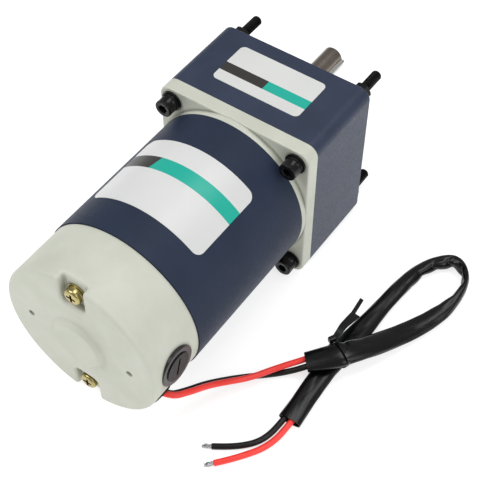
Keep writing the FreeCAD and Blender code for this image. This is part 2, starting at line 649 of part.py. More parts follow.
def front_bracket():
    """Square flange with a round spigot, a register in the tube and the bearing hub."""
    body = rounded_square(HALF, CORNER_R, BRACKET_FRONT, FLANGE_REAR)
    body = body.makeFillet(CASE_EDGE_FILLET, [e for e in body.Edges if e.BoundBox.YMax < FLANGE_REAR + 1e-6])
    body = body.fuse(rod(TUBE_R, FLANGE_REAR, TUBE_FRONT))
    body = body.fuse(rod(REGISTER_R, TUBE_FRONT, TUBE_FRONT - REGISTER_LENGTH))
    body = body.fuse(rod(BRACKET_HUB_R, TUBE_FRONT - REGISTER_LENGTH, TUBE_FRONT - BRACKET_HUB_DEPTH))
    body = body.cut(rod(SHAFT_HOLE_R, BRACKET_FRONT, TUBE_FRONT - BRACKET_HUB_DEPTH))
    body = body.cut(rod(BEARING_608[0], FRONT_BEARING_FRONT, TUBE_FRONT - BRACKET_HUB_DEPTH))
    for at in (LAYSHAFT_1_AT, LAYSHAFT_2_AT):
        body = body.cut(rod(BUSH_R, BRACKET_FRONT, BRACKET_FRONT - BUSH_LENGTH, at))
    for sz in (-1, 1):
        thread = rod(THROUGH_BOLT_R + SLIP, TUBE_FRONT - REGISTER_LENGTH + THROUGH_BOLT_THREAD + LAYER_GAP,
                     TUBE_FRONT - REGISTER_LENGTH, (0, sz * THROUGH_BOLT_Z))
        body = body.cut(thread)
    return body.cut(screw_holes(BRACKET_FRONT, FLANGE_REAR))


def motor_tube():
    """Steel tube that carries the magnets."""
    return pipe(TUBE_R, TUBE_INNER_R, TUBE_FRONT, TUBE_REAR)


def notch(side):
    """The space of one through-bolt notch, open to the cap's side and end."""
    inner = min(side * NOTCH_INNER, side * CAP_R * 2)
    outer = max(side * NOTCH_INNER, side * CAP_R * 2)
    space = block(-NOTCH_HALF_WIDTH, NOTCH_HALF_WIDTH, CAP_REAR - DISC_HEIGHT, NOTCH_FLOOR, inner, outer)
    corners = [e for e in space.Edges if abs(e.BoundBox.ZMin - side * NOTCH_INNER) < SLIP
               and e.BoundBox.ZLength < SLIP and e.BoundBox.YLength > SLIP]
    space = space.makeFillet(NOTCH_CORNER_R, corners)
    floor = [e for e in space.Edges if e.BoundBox.YMin > NOTCH_FLOOR - SLIP
             and min(abs(e.BoundBox.ZMin), abs(e.BoundBox.ZMax)) < CAP_R]
    return space.makeFillet(NOTCH_FLOOR_FILLET, floor)


def on_notch_rim(edge):
    """Whether an edge of the cut cap lies where a notch meets the cap's end or side."""
    box = edge.BoundBox
    middle = edge.CenterOfMass
    near = abs(middle.x) <= NOTCH_HALF_WIDTH + SLIP and abs(middle.z) >= NOTCH_INNER - SLIP
    at_end = box.YMax < CAP_REAR + SLIP
    reach = max(abs(box.ZMin), abs(box.ZMax))
    across_wall = box.ZLength > NOTCH_CORNER_R
    seam = box.YMax > NOTCH_FLOOR + SLIP
    return near and not seam and (at_end or (reach > CAP_R - EDGE_FILLET and not across_wall))


def rear_cap():
    """Cast rear cap with brush-holder holes, bearing hub, bolt notches and two small holes."""
    body = rod(CAP_R, TUBE_REAR, CAP_REAR)
    body = round_edges(body, EDGE_FILLET, full_circle_at(CAP_REAR, CAP_R))
    body = round_edges(body, CAP_EDGE_BREAK, full_circle_at(TUBE_REAR, CAP_R))
    disc = Part.makeCone(DISC_R, DISC_TOP_R, DISC_HEIGHT, V(0, CAP_REAR, 0), -AXIS)
    disc = round_edges(disc, DISC_FILLET, full_circle_at(CAP_REAR - DISC_HEIGHT, DISC_TOP_R))
    body = round_edges(body.fuse(disc), DISC_FOOT_FILLET, full_circle_at(CAP_REAR, DISC_R))
    inside = rod(CAP_R - CAP_WALL, TUBE_REAR, CAP_END_INSIDE)
    inside = inside.cut(rod(REAR_HUB_R, REAR_BEARING_FRONT, CAP_END_INSIDE))
    for side in (-1, 1):
        low = min(side * (NOTCH_INNER - NOTCH_WALL), side * CAP_R)
        high = max(side * (NOTCH_INNER - NOTCH_WALL), side * CAP_R)
        half = NOTCH_HALF_WIDTH + NOTCH_WALL
        inside = inside.cut(block(-half, half, CAP_END_INSIDE, NOTCH_FLOOR + NOTCH_WALL, low, high))
    body = body.cut(inside)
    body = body.cut(rod(BEARING_608[0], REAR_BEARING_FRONT, REAR_BEARING_REAR))
    body = body.cut(notch(-1)).cut(notch(1))
    body = round_edges(body, NOTCH_RIM_FILLET, on_notch_rim)
    for side in (-1, 1):
        body = body.cut(rod(THROUGH_BOLT_R + BOLT_CLEARANCE, NOTCH_FLOOR + NOTCH_WALL, NOTCH_FLOOR,
                            (0, side * THROUGH_BOLT_Z)))
        body = body.cut(rod(SMALL_HOLE_R, CAP_END_INSIDE, CAP_REAR, (side * SMALL_HOLE_X, 0)))
        body = body.cut(side_rod(HOLDER_R, 0, CAP_R, side))
        body = body.cut(side_rod(HOLDER_COLLAR_R, HOLDER_COLLAR_FROM, HOLDER_COLLAR_TO, side))
    return body.cut(grommet_rod(GROMMET_R, CAP_R - CAP_WALL - OVERCUT, CAP_R + OVERCUT))


def side_rod(r, x0, x1, side, along=0.0):
    """A cylinder along X on the brush axis, on the side given by the sign of side."""
    return Part.makeCylinder(r, x1 - x0, V(side * x0, BRUSH_Y + along, 0), V(side, 0, 0))


def at_reach(x):
    """A test for edges that lie wholly in the plane at x."""
    return lambda edge: abs(edge.BoundBox.XMin - x) < SLIP and abs(edge.BoundBox.XMax - x) < SLIP


def brush_holder(side):
    """Insulating holder: a tube through the cap's wall with a collar outside and a slot for the brush."""
    body = side_rod(HOLDER_R, HOLDER_FROM, HOLDER_COLLAR_FROM, side)
    collar = side_rod(HOLDER_COLLAR_R, HOLDER_COLLAR_FROM, HOLDER_COLLAR_TO, side)
    body = body.fuse(round_edges(collar, BRUSH_CAP_FILLET, at_reach(side * HOLDER_COLLAR_TO)))
    half_y = BRUSH_WIDTH / 2 + BRUSH_FIT
    half_z = BRUSH_HEIGHT / 2 + BRUSH_FIT
    slot = block(HOLDER_FROM, BRUSH_CAP_FROM, BRUSH_Y - half_y, BRUSH_Y + half_y, -half_z, half_z)
    slot = slot if side > 0 else slot.mirror(V(0, 0, 0), V(1, 0, 0))
    return body.cut(slot).cut(side_rod(BRUSH_CAP_R + SLIP, BRUSH_CAP_FROM, HOLDER_COLLAR_TO, side))


def brush_cap(side):
    """Slotted screw cap that closes the holder."""
    body = side_rod(BRUSH_CAP_R, BRUSH_CAP_FROM, BRUSH_CAP_TO, side)
    body = round_edges(body, BRUSH_CAP_FILLET, at_reach(side * BRUSH_CAP_TO))
    slot = block(BRUSH_CAP_TO - BRUSH_CAP_SLOT_DEPTH, BRUSH_CAP_TO, -BRUSH_CAP_SLOT / 2, BRUSH_CAP_SLOT / 2,
                 -BRUSH_CAP_SLOT_LENGTH / 2, BRUSH_CAP_SLOT_LENGTH / 2)
    slot.rotate(V(0, 0, 0), V(1, 0, 0), -BRUSH_CAP_SLOT_ANGLE)
    slot.translate(V(0, BRUSH_Y, 0))
    return body.cut(slot if side > 0 else slot.mirror(V(0, 0, 0), V(1, 0, 0)))


def brush(side):
    """Carbon brush that rides on the commutator."""
    end = COMMUTATOR_R + BRUSH_AIR + BRUSH_LENGTH
    body = block(COMMUTATOR_R / 2, end, BRUSH_Y - BRUSH_WIDTH / 2, BRUSH_Y + BRUSH_WIDTH / 2,
                 -BRUSH_HEIGHT / 2, BRUSH_HEIGHT / 2)
    body = body.cut(rod(COMMUTATOR_R + BRUSH_AIR, BRUSH_Y + BRUSH_WIDTH, BRUSH_Y - BRUSH_WIDTH))
    return body if side > 0 else body.mirror(V(0, 0, 0), V(1, 0, 0))


def brush_spring(side):
    """Coil spring between the brush and its cap."""
    start = COMMUTATOR_R + BRUSH_AIR + BRUSH_LENGTH + SPRING_WIRE_R
    length = BRUSH_CAP_FROM - start - SPRING_WIRE_R
    helix = Part.makeHelix(SPRING_PITCH, length, SPRING_R)
    wire = Part.Wire([Part.Circle(V(SPRING_R, 0, 0), AXIS, SPRING_WIRE_R).toShape()])
    coil = Part.Wire(helix).makePipeShell([wire], True, True)
    coil.rotate(V(0, 0, 0), V(0, 1, 0), 90)
    coil.translate(V(start, BRUSH_Y, 0))
    return coil if side > 0 else coil.mirror(V(0, 0, 0), V(1, 0, 0))


def magnet(side):
    """One ferrite segment inside the tube."""
    front = TUBE_FRONT - MAGNET_START
    outer = TUBE_INNER_R - SLIP
    half = math.radians(MAGNET_ARC / 2)
    reach = TUBE_R * 2
    wedge = [V(0, 0, 0), V(reach * math.cos(half), 0, reach * math.sin(half)), V(reach * 2, 0, 0),
             V(reach * math.cos(half), 0, -reach * math.sin(half)), V(0, 0, 0)]
    sector = Part.Face(Part.makePolygon(wedge)).extrude(V(0, MAGNET_LENGTH, 0))
    sector.translate(V(0, front - MAGNET_LENGTH, 0))
    body = pipe(outer, outer - MAGNET_THICKNESS, front, front - MAGNET_LENGTH).common(sector)
    return body if side > 0 else body.mirror(V(0, 0, 0), V(1, 0, 0))


def through_bolt(at):
    """Long cross-recessed bolt that clamps cap, tube and bracket together."""
    head_front = NOTCH_FLOOR - BOLT_WASHER - BOLT_SPRING
    head_rear = head_front - THROUGH_BOLT_HEAD
    head = rod(THROUGH_BOLT_HEAD_R, head_front, head_rear, at)
    head = round_edges(head, THROUGH_BOLT_FILLET, full_circle_at(head_rear, THROUGH_BOLT_HEAD_R))
    body = head.fuse(rod(THROUGH_BOLT_R, TUBE_FRONT - REGISTER_LENGTH + THROUGH_BOLT_THREAD, head_front, at))
    for half_x, half_z in ((CROSS_LENGTH / 2, CROSS_WIDTH / 2), (CROSS_WIDTH / 2, CROSS_LENGTH / 2)):
        body = body.cut(block(at[0] - half_x, at[0] + half_x, head_rear, head_rear + CROSS_DEPTH,
                              at[1] - half_z, at[1] + half_z))
    return body


def through_bolt_washer(at):
    """Flat washer on the notch's floor."""
    return pipe(BOLT_WASHER_R, THROUGH_BOLT_R + BOLT_CLEARANCE, NOTCH_FLOOR, NOTCH_FLOOR - BOLT_WASHER, at)


def through_bolt_spring_washer(at):
    """Spring washer under the bolt's head."""
    front = NOTCH_FLOOR - BOLT_WASHER
    return pipe(BOLT_SPRING_R, THROUGH_BOLT_R + BOLT_CLEARANCE, front, front - BOLT_SPRING, at)


# ---- armature ----------------------------------------------------------------------------------
def armature_shaft():
    """Motor shaft with the pinion's teeth cut on its front end."""
    pinion = gear(PINION_TEETH[0], STAGE_MODULES[0], STAGE_1_FRONT + PINION_EXTRA, STAGE_1_REAR - PINION_TAIL,
                  MOTOR_AT, PHASE_MOTOR, 0)
    return rod(MOTOR_SHAFT_R, STAGE_1_FRONT, REAR_BEARING_REAR).fuse(pinion)


def slot_space(r, opening, grow):
    """The twelve winding slots: round pockets, open to the rim."""
    spaces = []
    for i in range(CORE_SLOTS):
        pocket = rod(r, CORE_FRONT, CORE_REAR, (SLOT_PITCH_R, 0))
        if grow:
            mouth = block(SLOT_PITCH_R, ARMATURE_R + OVERCUT, CORE_REAR, CORE_FRONT,
                          -opening / 2, opening / 2)
            pocket = pocket.fuse(mouth)
        spaces.append(at_angle(pocket, 360 / CORE_SLOTS * (i + 0.5)))
    return spaces


def armature_core():
    """Slotted stack of laminations."""
    body = pipe(ARMATURE_R, MOTOR_SHAFT_R, CORE_FRONT, CORE_REAR)
    spaces = slot_space(SLOT_R, SLOT_OPENING, True)
    return body.cut(spaces[0].multiFuse(spaces[1:]))


def armature_windings():
    """Copper in the slots and the bundles of end turns at both ends of the core."""
    bars = slot_space(SLOT_R - WINDING_GAP, 0, False)
    outer = SLOT_PITCH_R + SLOT_R
    ends = []
    for front in (CORE_FRONT + END_TURN, CORE_REAR):
        ends.append(pipe(outer, END_TURN_INNER_R, front, front - END_TURN))
    return ends[0].multiFuse(ends[1:] + bars)


def commutator():
    """Copper cylinder with slits between its segments."""
    rear = COMMUTATOR_FRONT - COMMUTATOR_LENGTH
    body = pipe(COMMUTATOR_R, MOTOR_SHAFT_R, COMMUTATOR_FRONT, rear)
    slits = []
    for i in range(COMMUTATOR_SEGMENTS):
        slit = block(COMMUTATOR_R - COMMUTATOR_SLIT_DEPTH, COMMUTATOR_R + OVERCUT, rear, COMMUTATOR_FRONT,
                     -COMMUTATOR_SLIT / 2, COMMUTATOR_SLIT / 2)
        slits.append(at_angle(slit, 360 / COMMUTATOR_SEGMENTS * i))
    return body.cut(slits[0].multiFuse(slits[1:]))


# ---- labels ------------------------------------------------------------------------------------
def gearbox_label():
    """Blank plate on top of the gear case."""
    x, y = GEARBOX_LABEL_CENTRE
    body = block(x - GEARBOX_LABEL_WIDTH / 2, x + GEARBOX_LABEL_WIDTH / 2, y - GEARBOX_LABEL_LENGTH / 2,
                 y + GEARBOX_LABEL_LENGTH / 2, HALF, HALF + LABEL_THICKNESS)
    corners = [e for e in body.Edges if e.BoundBox.ZLength > LABEL_THICKNESS / 2]
    return body.makeFillet(GEARBOX_LABEL_CORNER, corners)


def motor_label():
    """Blank plate wrapped over the top of the tube."""
    front = TUBE_FRONT - MOTOR_LABEL_FRONT
    rear = front - MOTOR_LABEL_LENGTH
    half = math.radians(MOTOR_LABEL_HALF_ARC)
    reach = TUBE_R * 2
    wedge = [V(0, rear, 0), V(-reach * math.tan(half), rear, reach), V(reach * math.tan(half), rear, reach),
             V(0, rear, 0)]
    body = pipe(TUBE_R + LABEL_THICKNESS, TUBE_R, front, rear)
    body = body.common(Part.Face(Part.makePolygon(wedge)).extrude(V(0, MOTOR_LABEL_LENGTH, 0)))
    corners = [e for e in body.Edges if e.Length < LABEL_THICKNESS * 1.5]
    return body.makeFillet(MOTOR_LABEL_CORNER, corners)


# ---- leads -------------------------------------------------------------------------------------
def grommet_rod(r, r0, r1):
    """A cylinder along the grommet's axis, between two distances from the motor's axis."""
    axis = V(math.cos(math.radians(GROMMET_ANGLE)), 0, math.sin(math.radians(GROMMET_ANGLE)))
    return Part.makeCylinder(r, r1 - r0, V(0, GROMMET_Y, 0) + axis * r0, axis)


def lead_grommet():
    """Rubber grommet in the cap's wall that the two leads come out of."""
    body = grommet_rod(GROMMET_R - SLIP, CAP_R - CAP_WALL, CAP_R)
    body = body.fuse(grommet_rod(GROMMET_FLANGE_R, CAP_R, CAP_R + GROMMET_FLANGE))
    return body.cut(grommet_rod(GROMMET_BORE_R, CAP_R - CAP_WALL, CAP_R + GROMMET_FLANGE))


def bend_radii(points):
    """The arc radius at each inner point of a route."""
    radii = []
    for before, here, after in zip(points, points[1:], points[2:]):
        turn = (here - before).getAngle(after - here)
        run = min(here.distanceToPoint(before), after.distanceToPoint(here))
        radii.append(ARC_SHARE * run / math.tan(turn / 2))
    return radii


def tube(name, route, r):
    """A round tube along straight runs that are joined by tangent arcs."""
    points = [V(*p) for p in route]
    edges = []
    start = points[0]
    for before, here, after in zip(points, points[1:], points[2:]):
        run = min(here.distanceToPoint(before), after.distanceToPoint(here))
        back = (before - here).normalize()
        onward = (after - here).normalize()
        enter = here + back * (ARC_SHARE * run)
        leave = here + onward * (ARC_SHARE * run)
        half_turn = (math.pi - back.getAngle(onward)) / 2
        radius = ARC_SHARE * run / math.tan(half_turn)
        inward = (back + onward).normalize()
        middle = here + inward * (radius / math.cos(half_turn) - radius)
        edges.append(Part.LineSegment(start, enter).toShape())
        edges.append(Part.Arc(enter, middle, leave).toShape())
        start = leave
    edges.append(Part.LineSegment(start, points[-1]).toShape())
    path = Part.Wire(edges)
    profile = Part.Wire([Part.Circle(points[0], points[1] - points[0], r).toShape()])
    body = path.makePipeShell([profile], True, False)
    share = body.Volume / (math.pi * r * r * path.Length)
    print(f"{name}: length {path.Length:.1f}, volume share {share:.4f}, bend radii",
          [round(radius, 1) for radius in bend_radii(points)])
    return body


def lead(name, first, tail):
    """A lead in two lengths, before and after the part of it inside the sleeve."""
    return Part.makeCompound([tube(name, first, LEAD_R), tube(name + " tail", tail, LEAD_R)])


def tinned_end(tail):
    """The bare tinned strands at a lead's free end."""
    end = V(*tail[-1])
    axis = (end - V(*tail[-2])).normalize()
    return Part.makeCylinder(TINNED_R, TINNED_LENGTH, end, axis)


def cable_tie():
    """A closed band round the two limbs of the sleeve, with its head and cut tail."""
    across = V(math.cos(math.radians(TIE_ANGLE)), math.sin(math.radians(TIE_ANGLE)), 0)
    along = V(-across.y, across.x, 0)

    def loop(grow):
        half = TIE_HALF_WIDTH + grow
        flat = block(-half, half, -TIE_WIDTH / 2, TIE_WIDTH / 2, TIE_LOW - grow, TIE_HIGH + grow)
        return flat.makeFillet(half / 2, [e for e in flat.Edges if e.BoundBox.YLength > TIE_WIDTH / 2])

    body = loop(TIE_THICKNESS).cut(loop(0))
    width, height, length = TIE_HEAD
    head_left = -TIE_HALF_WIDTH - TIE_THICKNESS / 2
    head_top = (TIE_LOW + TIE_HIGH) / 2 + height
    head = block(head_left - width, head_left, -length / 2, length / 2, head_top - height, head_top)
    body = body.fuse(head)
    body.rotate(V(0, 0, 0), V(0, 0, 1), TIE_ANGLE)
    body.translate(TIE_CENTRE)
    start = TIE_CENTRE + across * (head_left - width / 2) + V(0, 0, head_top - height / 2)
    sideways = (TIE_TAIL_END - start).cross(V(0, 0, 1)).normalize() * (TIE_THICKNESS / 2)
    lift = V(0, 0, TIE_WIDTH / 2)
    section = [start + sideways + lift, start - sideways + lift, start - sideways - lift,
               start + sideways - lift, start + sideways + lift]
    return body.fuse(Part.Face(Part.makePolygon(section)).extrude(TIE_TAIL_END - start)).removeSplitter()


def bearings():
    """Rings and balls of the four ball bearings."""
    seats = {
        "output_front_bearing": (BEARING_6000, 0, OUTPUT_AT),
        "output_rear_bearing": (BEARING_6800, PLATE_FRONT, OUTPUT_AT),
        "armature_front_bearing": (BEARING_608, FRONT_BEARING_FRONT, MOTOR_AT),
        "armature_rear_bearing": (BEARING_608, REAR_BEARING_FRONT, MOTOR_AT),
    }
    pieces = {}
    for name, (bearing, front, at) in seats.items():
        pieces[name + "_outer"] = bearing_outer(bearing, front, at)
        pieces[name + "_inner"] = bearing_inner(bearing, front, at)
        pieces[name + "_balls"] = bearing_balls(bearing, front, at)
    return pieces


def assembly():
    """Every node of the object by name."""
    pieces = {
        "gearbox_case": gearbox_case(),
        "gearbox_plate": gearbox_plate(),
        "plate_screws": plate_screws(),
        "layshaft_1_front_bush": bush(PLATE_REAR + BUSH_LENGTH, LAYSHAFT_1_AT),
        "layshaft_1_rear_bush": bush(BRACKET_FRONT, LAYSHAFT_1_AT),
        "layshaft_2_front_bush": bush(-FRONT_WALL + BUSH_LENGTH, LAYSHAFT_2_AT),
        "layshaft_2_rear_bush": bush(BRACKET_FRONT, LAYSHAFT_2_AT),
        "layshaft_1": layshaft_1(),
        "layshaft_1_gear": stage_1_gear(),
        "layshaft_2": layshaft_2(),
        "layshaft_2_gear": stage_2_gear(),
        "output_shaft": output_shaft(),
        "output_gear": output_gear(),
        "output_key": output_key(),
        "output_seal": output_seal(),
        "mounting_screws": at_screws(mounting_screw),
        "mounting_spring_washers": at_screws(mounting_spring_washer),
        "mounting_flat_washers": mounting_flat_washers(),
        "mounting_nuts": at_screws(mounting_nut),
        "front_bracket": front_bracket(),
        "motor_tube": motor_tube(),
        "rear_cap": rear_cap(),
        "through_bolts": at_bolts(through_bolt),
        "through_bolt_washers": at_bolts(through_bolt_washer),
        "through_bolt_spring_washers": at_bolts(through_bolt_spring_washer),
        "armature_shaft": armature_shaft(),
        "armature_core": armature_core(),
        "armature_windings": armature_windings(),
        "commutator": commutator(),
        "gearbox_label": gearbox_label(),
        "motor_label": motor_label(),
        "lead_grommet": lead_grommet(),
        "red_lead": lead("red lead", RED_ROUTE, RED_TAIL),
        "black_lead": lead("black lead", BLACK_ROUTE, BLACK_TAIL),
        "lead_sleeve": tube("sleeve", SLEEVE_ROUTE, SLEEVE_R),
        "tinned_ends": Part.makeCompound([tinned_end(RED_TAIL), tinned_end(BLACK_TAIL)]),
        "cable_tie": cable_tie(),
    }
    for word, side in (("right", 1), ("left", -1)):
        pieces["magnet_" + word] = magnet(side)
        pieces["brush_holder_" + word] = brush_holder(side)
        pieces["brush_cap_" + word] = brush_cap(side)
        pieces["brush_" + word] = brush(side)
        pieces["brush_spring_" + word] = brush_spring(side)
    pieces.update(bearings())
    return pieces


def main():
    """Write one STEP file for each node."""
    os.makedirs("parts", exist_ok=True)
    for name, shape in assembly().items():
        if not shape.isValid() or not shape.Solids:
            raise ValueError(name + " is not a valid solid")
        shape.exportStep(os.path.join("parts", name + ".step"))
    print("gear train axes:", MOTOR_AT, LAYSHAFT_1_AT, LAYSHAFT_2_AT, OUTPUT_AT)


main()
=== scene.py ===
"""Looks of an 80 mm geared DC motor: finishes, threaded hardware, soft leads, sleeve and cable tie.

Frame: origin at the centre of the gear case's front face, on the motor's axis. +Y points out along
the output shaft, +X to the right, +Z up, and the motor lies on the floor at z = -40 mm. Sizes are
kept in millimetres and meshes are written in metres.
"""
import json
import logging
import math
from collections.abc import Sequence
from dataclasses import dataclass, field, replace
from enum import Enum

import bpy
import numpy as np
from bpy.types import Curve, Material, Node, NodeSocket, NodeTree, Object
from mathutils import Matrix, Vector


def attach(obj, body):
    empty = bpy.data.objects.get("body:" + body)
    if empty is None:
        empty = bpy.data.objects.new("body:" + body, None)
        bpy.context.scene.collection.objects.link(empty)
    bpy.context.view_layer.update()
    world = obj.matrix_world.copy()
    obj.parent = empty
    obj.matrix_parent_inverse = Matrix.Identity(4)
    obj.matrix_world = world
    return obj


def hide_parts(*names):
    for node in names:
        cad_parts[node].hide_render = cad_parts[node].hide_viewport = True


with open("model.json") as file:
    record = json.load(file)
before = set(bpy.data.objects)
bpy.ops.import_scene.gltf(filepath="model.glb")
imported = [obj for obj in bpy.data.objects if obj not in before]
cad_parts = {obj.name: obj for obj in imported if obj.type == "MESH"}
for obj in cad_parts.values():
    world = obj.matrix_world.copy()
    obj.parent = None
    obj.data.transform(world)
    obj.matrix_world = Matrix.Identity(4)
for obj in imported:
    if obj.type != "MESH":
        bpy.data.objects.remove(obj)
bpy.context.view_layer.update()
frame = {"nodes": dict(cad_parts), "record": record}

LOG = logging.getLogger("geared_motor")
MM = 0.001
TURN = 2 * math.pi
FLOOR_Z = -40.0
FLOOR_GAP = 0.02
SRGB_TOE, SRGB_SLOPE, SRGB_OFFSET, SRGB_POWER = 0.04045, 12.92, 0.055, 2.4
BLOTCH_RANGE, BLOTCH_DETAIL = (0.35, 0.65), 4.0
GRAIN_RANGE, GRAIN_ROUGHNESS = (0.3, 0.7), 0.6
COAT_ROUGHNESS = 0.15
CREVICE_SHADE_SAMPLES = 8
POLE_GAP = 0.02
STRAP_BEVEL = 0.25
LINE_RESOLUTION = 16

Array = np.ndarray
Point = tuple[float, float, float]
Route = tuple[Point, ...]


# ---- colours and nodes ----
def linear(code: str) -> tuple[float, float, float, float]:
    """Turn an sRGB hex colour to linear light.

    Args:
        code: the colour as "#rrggbb".

    Returns:
        Linear red, green and blue with an alpha of 1.
    """
    values = np.array([int(code[i:i + 2], 16) for i in (1, 3, 5)]) / 255
    bent = ((values + SRGB_OFFSET) / (1 + SRGB_OFFSET)) ** SRGB_POWER
    light = np.where(values <= SRGB_TOE, values / SRGB_SLOPE, bent)
    return (*light.tolist(), 1.0)


def add_node(tree: NodeTree, kind: str, inputs: dict, **settings: object) -> Node:
    """Add one shader node with its settings, values and links.

    Args:
        tree: the material's or world's node tree.
        kind: the node's type without the "ShaderNode" in front.
        inputs: a value, or another node's output, for each input socket's name or number.
        **settings: properties of the node itself.

    Returns:
        The new node.
    """
    node = tree.nodes.new("ShaderNode" + kind)
    for name, value in settings.items():
        setattr(node, name, value)
    for key, value in inputs.items():
        if isinstance(value, NodeSocket):
            tree.links.new(value, node.inputs[key])
        else:
            node.inputs[key].default_value = value
    return node


def calculate(tree: NodeTree, operation: str, *values: object) -> NodeSocket:
    """Add one node of arithmetic.

    Args:
        tree: the node tree.
        operation: the sum's name.
        *values: numbers or sockets, in the node's order.

    Returns:
        The result's socket.
    """
    return add_node(tree, "Math", dict(enumerate(values)), operation=operation).outputs[0]


def blend(tree: NodeTree, share: NodeSocket, first: object, second: object) -> NodeSocket:
    """Blend two colours.

    Args:
        tree: the node tree.
        share: how much of the second one shows, from 0 to 1.
        first: a colour or a socket.
        second: a colour or a socket.

    Returns:
        A colour socket.
    """
    return add_node(tree, "Mix", {0: share, 6: first, 7: second}, data_type="RGBA").outputs[2]


def link(name: str, data: bpy.types.ID) -> Object:
    """Make an object and put it in the scene.

    Args:
        name: the object's name.
        data: its mesh, curve, light or camera.

    Returns:
        The object.
    """
    made = bpy.data.objects.new(name, data)
    bpy.context.scene.collection.objects.link(made)
    return made


class Grain(Enum):
    """How a surface was made, as the stretch of its pattern along x, y and z.

    Turned work has none, because its pattern is read round its axis.
    """

    EVEN = (1.0, 1.0, 1.0)
    DRAWN = (1.0, 0.05, 1.0)
    TURNED = ()
    LAYERED = (0.02, 1.0, 0.02)
    ALONG_SURFACE = (1.0, 0.08, 1.0)


@dataclass(frozen=True)
class Finish:
    """A material with blotches of colour, uneven gloss and a grain of a real size.

    The colour is a blend of two by soft noise of the blotch's size, the roughness runs between two
    values by finer noise, and the grain is noise or pits raised by its real depth.
    """

    name: str
    colour: str
    shade: str
    gloss: tuple[float, float]
    metallic: float = 0.0
    ior: float = 1.5
    coat: float = 0.0
    grain: Grain = Grain.EVEN
    grain_mm: float = 1.0
    depth_mm: float = 0.01
    detail: float = 3.0
    blotch_mm: float = 12.0
    axis: tuple[float, float] = (0.0, 0.0)
    # How far the painted shade in hollows reaches, in mm; 0 paints none.
    crevice_shade_mm: float = 0.0

    def place(self, tree: NodeTree) -> NodeSocket:
        """Give the coordinates that the grain is read at, in metres.

        Turned work reads the distance from its axis and the place along it, so its lines run round.

        Args:
            tree: the material's node tree.

        Returns:
            A vector socket.
        """
        coords = add_node(tree, "TexCoord", {}).outputs
        if self.grain is not Grain.TURNED:
            source = "UV" if self.grain is Grain.ALONG_SURFACE else "Object"
            return add_node(tree, "Mapping", {
                "Vector": coords[source], "Scale": self.grain.value}).outputs[0]
        shift = (-self.axis[0] * MM, 0.0, -self.axis[1] * MM)
        centred = add_node(tree, "Mapping", {"Vector": coords["Object"], "Location": shift})
        flat = add_node(tree, "VectorMath", {
            0: centred.outputs[0], 1: (1.0, 0.0, 1.0)}, operation="MULTIPLY")
        radius = add_node(tree, "VectorMath", {0: flat.outputs[0]}, operation="LENGTH")
        split = add_node(tree, "SeparateXYZ", {0: centred.outputs[0]})
        return add_node(tree, "CombineXYZ", {
            "X": radius.outputs["Value"], "Y": split.outputs["Y"]}).outputs[0]

    def base_colour(self, tree: NodeTree, where: NodeSocket) -> NodeSocket:
        """Blend the two colours by soft noise.

        Args:
            tree: the material's node tree.
            where: the coordinates.

        Returns:
            A colour socket.
        """
        cloud = add_node(tree, "TexNoise", {
            "Vector": where, "Scale": 1 / (self.blotch_mm * MM), "Detail": BLOTCH_DETAIL})
        low, high = BLOTCH_RANGE
        spread = add_node(tree, "MapRange", {
            "Value": cloud.outputs[0], "From Min": low, "From Max": high})
        return blend(tree, spread.outputs[0], linear(self.colour), linear(self.shade))

    def material(self) -> Material:
        """Build the material once.

        Returns:
            The material, the same one each time.
        """
        made = bpy.data.materials.get(self.name)
        if made:
            return made
        made = bpy.data.materials.new(self.name)
        made.use_nodes = True
        tree = made.node_tree
        tree.nodes.clear()
        where = self.place(tree)
        colour = self.base_colour(tree, where)
        # Painted shade: an ambient occlusion node darkens the colour in holes, corners and creases.
        if self.crevice_shade_mm:
            painted_crevice_shade = add_node(tree, "AmbientOcclusion", {
                "Color": colour, "Distance": self.crevice_shade_mm * MM}, samples=CREVICE_SHADE_SAMPLES)
            colour = painted_crevice_shade.outputs["Color"]
        grain = add_node(tree, "TexNoise", {
            "Vector": where, "Scale": 1 / (self.grain_mm * MM), "Detail": self.detail,
            "Roughness": GRAIN_ROUGHNESS})
        low, high = GRAIN_RANGE
        rough = add_node(tree, "MapRange", {
            "Value": grain.outputs[0], "From Min": low, "From Max": high,
            "To Min": self.gloss[0], "To Max": self.gloss[1]})
        bump = add_node(tree, "Bump", {
            "Strength": 1.0, "Distance": self.depth_mm * MM, "Height": grain.outputs[0]})
        shader = add_node(tree, "BsdfPrincipled", {
            "Base Color": colour, "Roughness": rough.outputs[0], "Normal": bump.outputs[0],
            "Metallic": self.metallic, "IOR": self.ior, "Coat Weight": self.coat,
            "Coat Roughness": COAT_ROUGHNESS})
        add_node(tree, "OutputMaterial", {"Surface": shader.outputs[0]})
        return made


